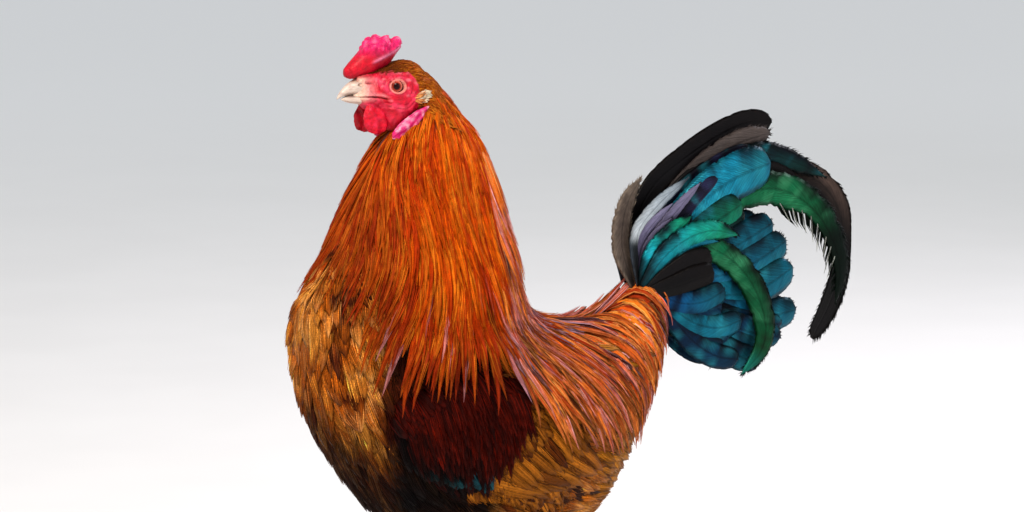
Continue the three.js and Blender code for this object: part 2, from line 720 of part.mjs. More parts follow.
// A hanging fold of skin: a flattened drop, leaning and splayed.
function dropSolid(sign, d, grow = 0) {
  const frame = new THREE.Matrix4()
    .makeTranslation(sign * d.x, d.y, d.z)
    .multiply(new THREE.Matrix4().makeRotationY(-sign * d.splay))
    .multiply(new THREE.Matrix4().makeRotationX(d.lean));
  const rings = [];
  const steps = 6;
  for (let i = 0; i <= steps; i++) {
    const a = (Math.PI * i) / steps;
    const r = Math.sin(a) * (1 - 0.28 * Math.cos(a));
    if (i === 0 || i === steps) {
      rings.push([v3(0, 0, (d.high + grow) * Math.cos(a))]);
      continue;
    }
    rings.push(
      Array.from({ length: 10 }, (_, j) => {
        const b = (2 * Math.PI * j) / 10;
        const [x, y] = [(d.thick * r + grow) * Math.cos(b), (d.deep * r + grow) * Math.sin(b)];
        return v3(x, y, (d.high + grow) * Math.cos(a));
      }),
    );
  }
  return solidOf(sweep(rings), frame);
}

function faceCutters() {
  return join([
    throatSolid(GAP),
    formSolid(HEAD, { grow: GAP, rings: 9, sides: 14 }),
    beakSolid(BEAK_UPPER, GAP),
    beakSolid(BEAK_LOWER, GAP),
  ]);
}

const wattleSolid = (sign) => whole(dropSolid(sign, WATTLE).subtract(faceCutters()));

const LOBE_SHAPE = { ...LOBE, high: LOBE.long, deep: LOBE.wide, splay: -0.1, lean: -LOBE.lean };

function lobeSolid(sign) {
  return whole(dropSolid(sign, LOBE_SHAPE).subtract(join([faceCutters(), earSolid(sign, GAP)])));
}

function eyeSolid(sign, grow = 0) {
  const r = EYE.radius + grow;
  return ball(sign * EYE.x, EYE.y, EYE.z, r, r, r, 11);
}

// ---------------------------------------------------------------- legs

// A limb along a curve: rings of given radii, flattened below at floor where that is set.
function limb(points, radii, sides = 12, floor = null) {
  const curve = new THREE.CatmullRomCurve3(points);
  const n = radii.length - 1;
  const rings = radii.map((r, i) => {
    const p = curve.getPointAt(i / n);
    const along = curve.getTangentAt(i / n);
    const side = v3(1, 0, 0).addScaledVector(along, -along.x).normalize();
    if (Math.abs(along.x) > 0.5) side.copy(v3(0, 0, 1).cross(along).normalize());
    const up = along.clone().cross(side).normalize();
    return Array.from({ length: sides }, (_, j) => {
      const a = (2 * Math.PI * j) / sides;
      const q = p.clone().addScaledVector(side, r * Math.cos(a)).addScaledVector(up, r * Math.sin(a));
      if (floor !== null) q.z = Math.max(q.z, floor);
      return q;
    });
  });
  return solidOf(sweep(rings));
}

const sided = (sign, [x, y, z]) => v3(sign * x, y, z);

function thighSolid(sign) {
  const [hip, hock] = [sided(sign, LEG.hip), sided(sign, LEG.hock)];
  const knee = hip.clone().lerp(hock, 0.5).add(v3(sign * 4, -4, 0));
  const drum = limb([hip, knee, hock.clone().lerp(hip, 0.01)], THIGH_RADII, 16);
  return whole(drum.subtract(torsoRoom()).subtract(stemSolid(sign, GAP)));
}

// Radii that rise and step back once a scute, so that each plate stands over the next.
function scuted(count, radius, rise) {
  const radii = [];
  for (let i = 0; i < count; i++) {
    const t = i / count;
    radii.push(radius(t) + rise, radius(t + 0.7 / count));
  }
  radii.push(radius(1));
  return radii;
}

// The scaled stem of the leg, its top end seated in the thigh.
function stemSolid(sign, grow = 0) {
  const [hock, foot] = [sided(sign, LEG.hock), sided(sign, LEG.foot)];
  const down = foot.clone().sub(hock).normalize();
  const start = hock.clone().addScaledVector(down, -3 - grow);
  const swell = (t, reach) => Math.exp(-((t / reach) ** 2));
  const radius = (t) => LEG.shankRadius * (1 + 0.3 * swell(t, 0.12) + 0.3 * swell(1 - t, 0.14)) + grow;
  return limb([start, start.clone().lerp(foot, 0.5), foot], scuted(LEG.scutes, radius, LEG.scuteRise), 8);
}

const shankSolid = (sign) => whole(join([stemSolid(sign), footPad(sign, 0)]).subtract(spurSolid(sign, GAP)));

// The pad under the shank, flat on the floor.
function footPad(sign, grow) {
  const [x, y] = [sign * LEG.foot[0], LEG.foot[1]];
  const r = FOOT_PAD.radius + grow;
  const profile = [
    new THREE.Vector2(0, 0),
    new THREE.Vector2(r * 0.86, 0),
    new THREE.Vector2(r, FOOT_PAD.high * 0.3),
    new THREE.Vector2(r * 0.9, FOOT_PAD.high * 0.7),
    new THREE.Vector2(r * 0.5, FOOT_PAD.high + grow),
    new THREE.Vector2(0, FOOT_PAD.high + grow),
  ];
  const upright = new THREE.Matrix4().makeTranslation(x, y, 0).multiply(new THREE.Matrix4().makeRotationX(Math.PI / 2));
  return solidOf(new THREE.LatheGeometry(profile, 12), upright);
}

function toeLine(sign, toe) {
  const a = THREE.MathUtils.degToRad(toe.heading);
  const ahead = v3(sign * Math.sin(a), -Math.cos(a), 0);
  const root = v3(sign * LEG.foot[0], LEG.foot[1], toe.radius * 0.96);
  return { ahead, root, at: (d, z) => root.clone().addScaledVector(ahead, d).setZ(z) };
}

function toeSolid(sign, toe) {
  const line = toeLine(sign, toe);
  const tip = toe.length;
  const radius = (t) => toe.radius * (1 - 0.34 * t) + 0.5 * Math.cos(t * Math.PI * 2 * 2.5);
  const radii = scuted(toe.joints, radius, 0.6);
  const points = [0, 0.35, 0.7, 1].map((t) => line.at(4 + (tip - 4) * t, toe.radius * (0.96 - 0.34 * t)));
  const made = limb(points, radii, 7, 0).subtract(footPad(sign, GAP));
  return whole(toe.splits ? made.subtract(toeChannel(sign)) : made);
}

// The room the middle toe takes from its neighbours near the pad.
function toeChannel(sign) {
  const toe = TOES.middle;
  const line = toeLine(sign, toe);
  const points = [-4, 14, 32].map((d) => line.at(d, toe.radius * 0.9));
  return limb(points, [1, 1, 1].map(() => toe.radius + 1.2 + GAP), 8);
}

function clawSolid(sign, toe) {
  const line = toeLine(sign, toe);
  const start = toe.length + GAP;
  const r = toe.radius * 0.52;
  const steps = 4;
  const rings = [];
  for (let i = 0; i <= steps; i++) {
    const t = i / steps;
    const d = start + CLAW.length * Math.sin(t * 1.2) * 0.95;
    const z = r + 0.9 - (r + 0.4) * t * t * CLAW.droop * 2.4 + 1.1 * Math.sin(t * Math.PI);
    const p = line.at(d, Math.max(z, 0.5));
    if (i === steps) {
      rings.push([p]);
      continue;
    }
    const side = v3(-line.ahead.y, line.ahead.x, 0);
    const k = r * (1 - t) ** 0.7;
    rings.push(
      Array.from({ length: 6 }, (_, j) => {
        const b = (2 * Math.PI * j) / 6;
        const q = p.clone().addScaledVector(side, 0.8 * k * Math.cos(b));
        q.z = Math.max(q.z + k * Math.sin(b), 0.2);
        return q;
      }),
    );
  }
  return solidOf(sweep(rings));
}

function spurSolid(sign, grow = 0) {
  const [hock, foot] = [sided(sign, LEG.hock), sided(sign, LEG.foot)];
  const t = (hock.z - SPUR.z) / (hock.z - foot.z);
  const base = hock.clone().lerp(foot, t).add(v3(-sign * 3, 3, 0));
  const way = v3(-sign * 0.62, 0.72, -0.05).normalize();
  const points = [0, 0.5, 1].map((s) => base.clone().addScaledVector(way, (SPUR.length + grow) * s));
  points[2].z += 4;
  const radii = [1, 0.84, 0.58, 0.14].map((k) => SPUR.radius * k + grow);
  return limb(points, radii, 8);
}

// ---------------------------------------------------------------- assembly

// The part's mesh of a solid, rounded to a tenth of a micrometre.
function meshOf(name, made, material) {
  const m = made.getMesh();
  const positions = new Float32Array(m.numVert * 3);
  for (let i = 0; i < m.numVert; i++) {
    positions.set(m.vertProperties.subarray(i * m.numProp, i * m.numProp + 3), i * 3);
  }
  const geometry = new THREE.BufferGeometry();
  geometry.setAttribute("position", new THREE.BufferAttribute(positions, 3));
  geometry.setIndex(new THREE.BufferAttribute(new Uint32Array(m.triVerts), 1));
  geometry.computeVertexNormals();
  const mesh = new THREE.Mesh(geometry, material);
  mesh.name = name;
  return mesh;
}

const rooster = new THREE.Group();
const add = (name, made, material) => rooster.add(meshOf(name, made, material));

add("neck", neckSolid(), MATERIALS.hackle);
add("torso", torsoSolid(), MATERIALS.body);
add("saddle", saddleSolid(), MATERIALS.hackle);
add("tail", tailSolid(), MATERIALS.tail);
add("head", headSolid(), MATERIALS.skin);
add("comb", combSolid(), MATERIALS.skin);
add("beak_upper", upperBeakSolid(), MATERIALS.horn);
add("beak_lower", beakSolid(BEAK_LOWER), MATERIALS.horn);
for (const [side, sign] of Object.entries(SIDES)) {
  add(`wing_${side}`, wingSolid(sign), MATERIALS.wing);
  add(`sickle_${side}`, sickleSolid(sign), MATERIALS.tail);
  add(`eye_${side}`, eyeSolid(sign), MATERIALS.eye);
  add(`wattle_${side}`, wattleSolid(sign), MATERIALS.skin);
  add(`earlobe_${side}`, lobeSolid(sign), MATERIALS.lobe);
  add(`thigh_${side}`, thighSolid(sign), MATERIALS.body);
  add(`shank_${side}`, shankSolid(sign), MATERIALS.scale);
  add(`spur_${side}`, spurSolid(sign), MATERIALS.claw);
  for (const [name, toe] of Object.entries(TOES)) {
    add(`toe_${side}_${name}`, toeSolid(sign, toe), MATERIALS.scale);
    add(`claw_${side}_${name}`, clawSolid(sign, toe), MATERIALS.claw);
  }
}

// The origin lies on the floor under the middle of the whole bird.
const box = new THREE.Box3().setFromObject(rooster);
const middle = box.getCenter(v3(0, 0, 0));
rooster.children.forEach((mesh) => mesh.position.set(0, -middle.y, 0));

export default rooster;
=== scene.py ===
"""A life-size rooster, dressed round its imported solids: skin, feathers, head, legs, floor, light and camera.

Places are worked out in the bird's own measure, in millimetres: it faces -Y, its left side is towards +X and
its soles are on z = 0. Meshes are made in the frame of the solids, in metres.
"""

from __future__ import annotations

import logging
import math
from dataclasses import dataclass, field
from enum import Enum
from functools import partial
from typing import Callable, Sequence

import bmesh
import bpy
import numpy as np
from mathutils import Matrix, Vector
from mathutils.bvhtree import BVHTree
from mathutils.interpolate import poly_3d_calc


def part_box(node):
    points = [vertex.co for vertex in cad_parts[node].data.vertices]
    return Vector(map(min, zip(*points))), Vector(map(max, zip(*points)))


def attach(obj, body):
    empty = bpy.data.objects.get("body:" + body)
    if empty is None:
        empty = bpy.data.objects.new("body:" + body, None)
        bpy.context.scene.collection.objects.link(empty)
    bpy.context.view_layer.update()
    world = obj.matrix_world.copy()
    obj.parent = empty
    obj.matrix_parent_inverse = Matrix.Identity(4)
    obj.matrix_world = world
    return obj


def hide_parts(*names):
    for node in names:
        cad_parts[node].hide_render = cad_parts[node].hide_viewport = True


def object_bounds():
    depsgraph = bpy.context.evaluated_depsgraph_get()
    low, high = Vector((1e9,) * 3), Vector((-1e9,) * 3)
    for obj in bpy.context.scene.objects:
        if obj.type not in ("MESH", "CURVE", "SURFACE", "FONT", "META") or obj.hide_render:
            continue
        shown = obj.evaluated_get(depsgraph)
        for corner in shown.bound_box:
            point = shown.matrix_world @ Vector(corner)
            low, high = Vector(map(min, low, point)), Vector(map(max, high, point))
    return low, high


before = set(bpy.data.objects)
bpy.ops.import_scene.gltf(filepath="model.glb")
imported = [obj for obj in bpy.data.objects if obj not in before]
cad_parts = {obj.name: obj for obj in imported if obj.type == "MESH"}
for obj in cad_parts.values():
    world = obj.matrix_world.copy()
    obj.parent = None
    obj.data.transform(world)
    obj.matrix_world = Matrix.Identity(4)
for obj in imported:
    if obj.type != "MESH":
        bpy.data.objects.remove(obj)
CAD_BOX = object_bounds()

LOG = logging.getLogger("rooster")
Array = np.ndarray
Rows = Sequence[Sequence[float]]
Object = bpy.types.Object
Material = bpy.types.Material
Socket = bpy.types.NodeSocket
Shape = bmesh.types.BMesh
Form = Callable[[Array], Array]
Dyes = tuple[Array, Array]
RAY_STEPS = 56
RAY_HALVINGS = 12


class Side(Enum):
    """A side of the bird, as the sign of its x."""

    LEFT = 1
    RIGHT = -1

    @property
    def word(self) -> str:
        """The side's name as nodes are named."""
        return self.name.lower()


class Axis(Enum):
    """The axis that a tube form runs along."""

    REARWARD = "y"
    UPWARD = "z"


# ------------------------------------------------------------ small helpers


def colour(code: str) -> Array:
    """Turns a hex code into a linear colour."""
    values = np.array([int(code[i : i + 2], 16) for i in (0, 2, 4)]) / 255
    return np.where(values <= 0.04045, values / 12.92, ((values + 0.055) / 1.055) ** 2.4)


def smooth(low: float, high: float, x: Array) -> Array:
    """A smooth step of x from 0 at low to 1 at high."""
    t = np.clip((x - low) / (high - low), 0, 1)
    return t * t * (3 - 2 * t)


def mix(a: Array, b: Array, t: Array) -> Array:
    """The value between a and b at share t."""
    return a + (b - a) * t


def unit(v: Array) -> Array:
    """Vectors brought to length one."""
    return v / np.maximum(np.linalg.norm(v, axis=-1, keepdims=True), 1e-9)


def bell(x: Array, width: float) -> Array:
    """A bell curve of x, one at nought."""
    return np.exp(-((x / width) ** 2))


def turns(count: int) -> Array:
    """Evenly spaced angles round a circle."""
    return np.arange(count) / count * 2 * math.pi


def layered(base: Array, *layers: tuple[str | Array, Array]) -> Array:
    """Lays colours over a base, one after another.

    Args:
        base: linear colours.
        layers: each one's colour, linear or as a hex code, and its share.

    Returns:
        The linear colours.
    """
    for over, share in layers:
        base = mix(base, colour(over) if isinstance(over, str) else over, share[..., None])
    return base


def sample(rows: Rows, t: Array) -> Array:
    """Smooth values of a table's columns.

    Args:
        rows: the table, sorted by its first column.
        t: places in the first column.

    Returns:
        The other columns at each place.
    """
    table = np.asarray(rows, float)
    x, y = table[:, 0], table[:, 1:]
    last = len(x) - 1
    before, after = np.maximum(np.arange(last + 1) - 1, 0), np.minimum(np.arange(last + 1) + 1, last)
    slope = (y[after] - y[before]) / (x[after] - x[before])[:, None]
    u = np.clip(t, x[0], x[-1])
    i = np.clip(np.searchsorted(x, u, side="right") - 1, 0, last - 1)
    step = x[i + 1] - x[i]
    s = ((u - x[i]) / step)[..., None]
    run = step[..., None]
    return (
        y[i] * (2 * s**3 - 3 * s**2 + 1)
        + slope[i] * run * (s**3 - 2 * s**2 + s)
        + y[i + 1] * (3 * s**2 - 2 * s**3)
        + slope[i + 1] * run * (s**3 - s**2)
    )


def read(x: Array, places: Array, values: Array) -> Array:
    """Columns of values, read straight between their places."""
    return np.stack([np.interp(x, places, column) for column in values.T], -1)


def soft_min(a: Array, b: Array, k: float) -> Array:
    """The lesser of two distances, rounded over a band of k."""
    h = np.clip(0.5 + 0.5 * (b - a) / k, 0, 1)
    return mix(b, a, h) - k * h * (1 - h)


def waves(p: Array, size: float, seed: int, layers: int = 5) -> Array:
    """Smooth seeded noise from about -1 to 1, made of crossing waves.

    Args:
        p: points.
        size: the width of its swells.
        seed: which noise.
        layers: how many waves cross.

    Returns:
        One value for each point.
    """
    rng = np.random.default_rng(seed)
    ways = unit(rng.normal(size=(layers, 3))) * (2 * math.pi / size) * rng.uniform(0.6, 1.5, (layers, 1))
    phases = rng.uniform(0, 2 * math.pi, layers)
    return np.sin(p @ ways.T + phases).sum(-1) / layers * 1.4


def mirrored(p: Array) -> Array:
    """Points brought to the left side."""
    return np.concatenate([np.abs(p[..., :1]), p[..., 1:]], -1)


# ------------------------------------------------------------ the bird's forms


@dataclass(frozen=True)
class Tube:
    """A form of stations along an axis.

    Rows are [place, centre, half width, reach to the low side, reach to the high side].
    """

    along: Axis
    rows: Rows

    def outside(self, p: Array) -> Array:
        """Finds how far outside the form points lie.

        Args:
            p: the points.

        Returns:
            Radial distances, negative inside.
        """
        t, other = (p[..., 1], p[..., 2]) if self.along is Axis.REARWARD else (p[..., 2], p[..., 1])
        centre, side, low, high = np.moveaxis(sample(self.rows, t), -1, 0)
        reach = np.where(other > centre, high, low)
        r = np.hypot(p[..., 0], other - centre)
        q = np.hypot(p[..., 0] / side, (other - centre) / reach)
        past = np.maximum(np.maximum(self.rows[0][0] - t, t - self.rows[-1][0]), 0)
        shell = r * (1 - 1 / np.maximum(q, 1e-3))
        return np.where(past > 0, np.hypot(past, np.maximum(shell, 0)), shell)

    def point(self, t: Array, a: Array, grow: float = 0) -> Array:
        """Points of the form.

        Args:
            t: places along the axis.
            a: angles round it, from +X towards the high side.
            grow: how far outside the form.

        Returns:
            The points.
        """
        centre, side, low, high = np.moveaxis(sample(self.rows, t), -1, 0)
        across = (side + grow) * np.cos(a)
        other = centre + (np.where(np.sin(a) > 0, high, low) + grow) * np.sin(a)
        order = (across, t, other) if self.along is Axis.REARWARD else (across, other, t)
        return np.stack(np.broadcast_arrays(*order), -1)


TORSO = Tube(
    Axis.REARWARD,
    (
        (-181, 374, 6, 6, 6), (-175, 372, 32, 40, 32), (-163, 366, 52, 74, 50), (-145, 356, 69, 93, 74),
        (-115, 338, 83, 115, 94), (-80, 318, 90, 128, 107), (-40, 300, 93, 132, 112), (0, 290, 93, 130, 107),
        (40, 288, 90, 122, 93), (80, 292, 80, 108, 79), (110, 302, 66, 88, 75), (135, 322, 50, 68, 69),
        (158, 348, 33, 50, 57), (176, 376, 18, 30, 31), (186, 390, 5, 8, 8),
    ),
)
NECK = Tube(
    Axis.UPWARD,
    (
        (340, -62, 76, 84, 74), (370, -64, 84, 92, 84), (400, -66, 86, 93, 89), (436, -65, 80, 87, 85),
        (475, -63, 69, 75, 73), (514, -59, 56, 60, 61), (549, -57, 42, 41, 45), (568, -54, 30, 21, 26),
        (585, -59, 21, 10, 19), (597, -62, 15, 6, 13), (604, -62, 7, 4, 6),
    ),
)
HEAD = Tube(
    Axis.REARWARD,
    (
        (-129, 588, 6, 6, 6), (-124, 589, 9, 10, 11), (-114, 590, 13.5, 17, 15), (-104, 592, 16.5, 24, 18),
        (-92, 593, 18, 30, 21), (-80, 594, 18.5, 30, 22), (-68, 592, 17, 24, 21), (-60, 590, 12, 15, 15),
    ),
)
COMB = Tube(
    Axis.REARWARD,
    (
        (-136, 607.5, 4, 4.5, 5), (-131, 609, 8, 8, 8.5), (-124, 612, 10, 9.5, 12.5),
        (-116, 616, 11.5, 12, 16.5), (-108, 620, 12, 14, 18), (-98, 624, 12.5, 14, 12.5),
        (-91, 628, 12, 13, 9), (-85, 630.5, 10.5, 8, 5.5), (-81, 631, 5, 4, 4),
    ),
)
UPPER_BEAK = Tube(
    Axis.REARWARD,
    (
        (-143.5, 585.2, 0.5, 0.7, 0.7), (-141, 588, 2, 2.2, 2.4), (-136, 590.8, 3.8, 3, 4.2),
        (-129, 593.2, 5.8, 4.2, 6), (-121, 594.5, 7.4, 5.2, 7.6), (-112, 594, 8, 5.4, 7),
    ),
)
LOWER_BEAK = Tube(
    Axis.REARWARD,
    (
        (-139.5, 584.6, 0.7, 0.6, 0.6), (-135, 584.2, 3, 2.2, 2.4), (-129, 583.8, 4.6, 3.2, 3.6),
        (-121, 583.6, 6, 4.2, 4.2), (-112, 583.5, 6.8, 4.6, 4.2),
    ),
)
EYE = np.array([14.2, -92.9, 595.4])
EYE_RADIUS = 5.8
SOLID_EYE_Y = -94.0


def bird_shift() -> float:
    """How far along y the solids lie from the bird's own measure, in mm."""
    low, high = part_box("eye_left")
    return 500 * (low.y + high.y) - SOLID_EYE_Y


SHIFT = np.array([0, bird_shift(), 0])


def metres(p: Array) -> Array:
    """Points in the bird's measure brought to the frame of the solids, in metres."""
    return (p + SHIFT) * 0.001


def held(p: Array, room: float = 0.004) -> Array:
    """Presses points softly inside the solids' box, so that no feather stands out of it.

    Args:
        p: points in metres.
        room: the depth of the band where they are pressed together.

    Returns:
        The points.
    """
    low, high = (np.array(corner) for corner in CAD_BOX)
    over = np.maximum(p - (high - room), 0)
    under = np.maximum((low + room) - p, 0)
    return p - over + room * (1 - np.exp(-over / room)) + under - room * (1 - np.exp(-under / room))


@dataclass(frozen=True)
class WingPlan:
    """The folded wing's place and ellipse on the torso's side."""

    x: float = 92.0
    y: float = -30
    z: float = 290
    droop: float = 0.28
    long: float = 116
    high: float = 60
    edge: float = 1.8
    swell: float = 9
    room: float = 8.6

    def place(self, p: Array) -> tuple[Array, Array, Array]:
        """Finds points on the wing.

        Args:
            p: the points.

        Returns:
            u to the rear, w up across it, and the share r to its rim.
        """
        dy, dz = p[..., 1] - self.y, p[..., 2] - self.z
        u = dy * math.cos(self.droop) - dz * math.sin(self.droop)
        w = dy * math.sin(self.droop) + dz * math.cos(self.droop)
        return u, w, np.hypot(u / self.long, w / self.high)

    def point(self, side: Side, u: Array, w: Array) -> Array:
        """Finds points beside the torso.

        Args:
            side: the wing's side.
            u: places to the rear.
            w: places up across the wing.

        Returns:
            The points.
        """
        y = self.y + u * math.cos(self.droop) + w * math.sin(self.droop)
        z = self.z - u * math.sin(self.droop) + w * math.cos(self.droop)
        return np.stack([np.full_like(y, side.value * self.x), y, z], -1)

    def cover(self, r: Array) -> Array:
        """How far the wing's form stands over the torso."""
        inside = self.edge + self.swell * (1 - np.minimum(r, 1) ** 2.4)
        return inside * (1 - smooth(1.0, 1.12, r))


WING = WingPlan()


class Field:
    """A signed distance on a lattice, in mm, with its slope."""

    LOW = np.array([-150.0, -206.0, 88.0])
    HIGH = np.array([150.0, 206.0, 624.0])
    STEP = 4.0
    STRIDE = 25

    def __init__(self, values: Array) -> None:
        """Keeps the lattice's values and works out their slope."""
        slope = np.stack(np.gradient(values, self.STEP), -1)
        self.nodes = np.concatenate([values[..., None], slope], -1).astype(np.float32)

    @classmethod
    def points(cls) -> Array:
        """The lattice's nodes."""
        ranges = [np.arange(a, b + 0.1, cls.STEP) for a, b in zip(cls.LOW, cls.HIGH)]
        return np.stack(np.meshgrid(*ranges, indexing="ij"), -1)

    @classmethod
    def true(cls, values: Array) -> Array:
        """Distances scaled so that their slope is one."""
        slope = np.linalg.norm(np.stack(np.gradient(values, cls.STEP), -1), axis=-1)
        return values / np.maximum(slope, 0.2)

    def at(self, p: Array) -> Array:
        """Reads the lattice.

        Args:
            p: points.

        Returns:
            Distance and slope at each, as four columns.
        """
        place = (p - self.LOW) / self.STEP
        base = np.clip(np.floor(place).astype(int), 0, np.array(self.nodes.shape[:3]) - 2)
        f = np.clip(place - base, 0, 1)[..., None]
        total = 0
        for corner in np.ndindex(2, 2, 2):
            at = base + corner
            weight = 1
            for k in range(3):
                weight = weight * (f[..., k, :] if corner[k] else 1 - f[..., k, :])
            total = total + weight * self.nodes[at[..., 0], at[..., 1], at[..., 2]]
        return total

    def normal(self, p: Array) -> Array:
        """The way out of the form at points."""
        return unit(self.at(p)[..., 1:])

    def settle(self, p: Array, height: Array | float, rounds: int = 5) -> Array:
        """Moves points along the slope.

        Args:
            p: points.
            height: how far above the surface they come to lie.
            rounds: how often each is moved.

        Returns:
            The points.
        """
        q = np.array(p, float)
        for _ in range(rounds):
            now = self.at(q)
            miss = np.clip(height - now[..., 0], -self.STRIDE, self.STRIDE)
            square = np.maximum((now[..., 1:] ** 2).sum(-1), 0.2)
            q = q + now[..., 1:] * (miss / square)[..., None]
        return q


HIP, HOCK, FOOT = np.array([46.0, -26, 222]), np.array([46.0, 14, 118]), np.array([47.0, -20, 13])
THIGH_RADII = (38, 40, 38, 30, 20, 12.4)


def thigh_radius(t: Array) -> Array:
    """The thigh's radius at shares of its length."""
    return np.interp(t, np.linspace(0, 1, len(THIGH_RADII)), THIGH_RADII)


def thigh_distance(p: Array) -> Array:
    """Finds how far outside the nearer thigh points lie.

    Args:
        p: the points.

    Returns:
        The distances.
    """
    q = mirrored(p)
    run = HOCK - HIP
    t = np.clip(((q - HIP) @ run) / (run @ run), 0, 1)
    return np.linalg.norm(q - HIP - t[..., None] * run, axis=-1) - thigh_radius(t)


@dataclass
class Forms:
    """The lattices that skin and feathers are laid over."""

    flesh: Field
    winged: Field
    covered: Field

    @classmethod
    def build(cls) -> Forms:
        """Fills the lattices.

        Returns:
            The forms.
        """
        p = Field.points()
        trunk = soft_min(Field.true(TORSO.outside(p)), Field.true(NECK.outside(p)), 26)
        flesh = soft_min(trunk, thigh_distance(p), 14)
        r = WING.place(p)[2]
        covered = trunk - (WING.cover(r) + WING.room) * smooth(0, 1, (1.62 - r) / 0.42)
        return cls(Field(flesh), Field(trunk - WING.cover(r)), Field(covered))


# ------------------------------------------------------------ making meshes


def new_object(name: str, mesh: bpy.types.Mesh) -> Object:
    """Links an object for a mesh.

    Args:
        name: the object's name.
        mesh: its mesh.

    Returns:
        The object.
    """
    made = bpy.data.objects.new(name, mesh)
    bpy.context.scene.collection.objects.link(made)
    return made


def meshed(name: str, shape: Shape) -> Object:
    """Makes a smooth object of a shape, which is freed.

    Args:
        name: the object's name.
        shape: its surface.

    Returns:
        The object.
    """
    for face in shape.faces:
        face.smooth = True
    mesh = bpy.data.meshes.new(name)
    shape.to_mesh(mesh)
    shape.free()
    return new_object(name, mesh)


def wrapped(points: Array) -> Shape:
    """A closed surface through rings of points.

    Args:
        points: rings by sides by three, in the bird's measure.

    Returns:
        A mesh with its seam and poles merged.
    """
    rings, sides = points.shape[:2]
    bm = bmesh.new()
    bmesh.ops.create_grid(bm, x_segments=sides, y_segments=rings - 1, size=1)
    placed = metres(points)
    for vert in bm.verts:
        j = round((vert.co.x + 1) / 2 * sides) % sides
        i = round((vert.co.y + 1) / 2 * (rings - 1))
        vert.co = placed[i, j]
    bmesh.ops.remove_doubles(bm, verts=bm.verts, dist=2e-6)
    bmesh.ops.holes_fill(bm, edges=bm.edges, sides=sides)
    bmesh.ops.recalc_face_normals(bm, faces=bm.faces)
    return bm


def gather(whole: Shape, part: Shape) -> None:
    """Moves a part's surface into the whole.

    Args:
        whole: what it is moved into.
        part: what is moved, and freed.
    """
    mesh = bpy.data.meshes.new("part")
    part.to_mesh(mesh)
    part.free()
    whole.from_mesh(mesh)
    bpy.data.meshes.remove(mesh)


def cast(distance: Form, start: Array, way: Array, far: float) -> Array:
    """Finds where rays leave a form.

    Args:
        distance: the form's distance function.
        start: points inside it.
        way: the rays' directions.
        far: the longest that a ray may be.

    Returns:
        The points where the rays leave it.
    """
    reach = np.linspace(0, far, RAY_STEPS)
    inside = np.stack([distance(start + way * r) for r in reach]) < 0
    last = RAY_STEPS - 1 - np.argmax(inside[::-1], axis=0)
    last = np.where(inside.any(0), np.minimum(last, RAY_STEPS - 2), 0)
    low, high = reach[last], reach[last + 1]
    for _ in range(RAY_HALVINGS):
        middle = (low + high) / 2
        within = distance(start + way * middle[..., None]) < 0
        low, high = np.where(within, middle, low), np.where(within, high, middle)
    return start + way * ((low + high) / 2)[..., None]


@dataclass(frozen=True)
class Shell:
    """Rays round a line from front to rear, that find a form's surface.

    The line is given by rows of y and z. Ease says how much closer the rings lie at both ends.
    """

    line: Rows
    ends: tuple[float, float]
    rings: int
    sides: int
    ease: float
    far: float

    def surface(self, distance: Form) -> Array:
        """Finds a form's surface.

        Args:
            distance: the form's distance function.

        Returns:
            Rings of points, rings by sides by three.
        """
        share = np.linspace(0, 1, self.rings)
        y = mix(*self.ends, mix(share, 0.5 - 0.5 * np.cos(share * math.pi), self.ease))[:, None]
        a = turns(self.sides)[None, :]
        line = np.array(self.line)
        start = np.stack(np.broadcast_arrays(0 * a, y, np.interp(y, line[:, 0], line[:, 1])), -1)
        way = np.stack(np.broadcast_arrays(np.cos(a) + 0 * y, 0 * a * y, np.sin(a) + 0 * y), -1)
        return cast(distance, start, way, self.far)


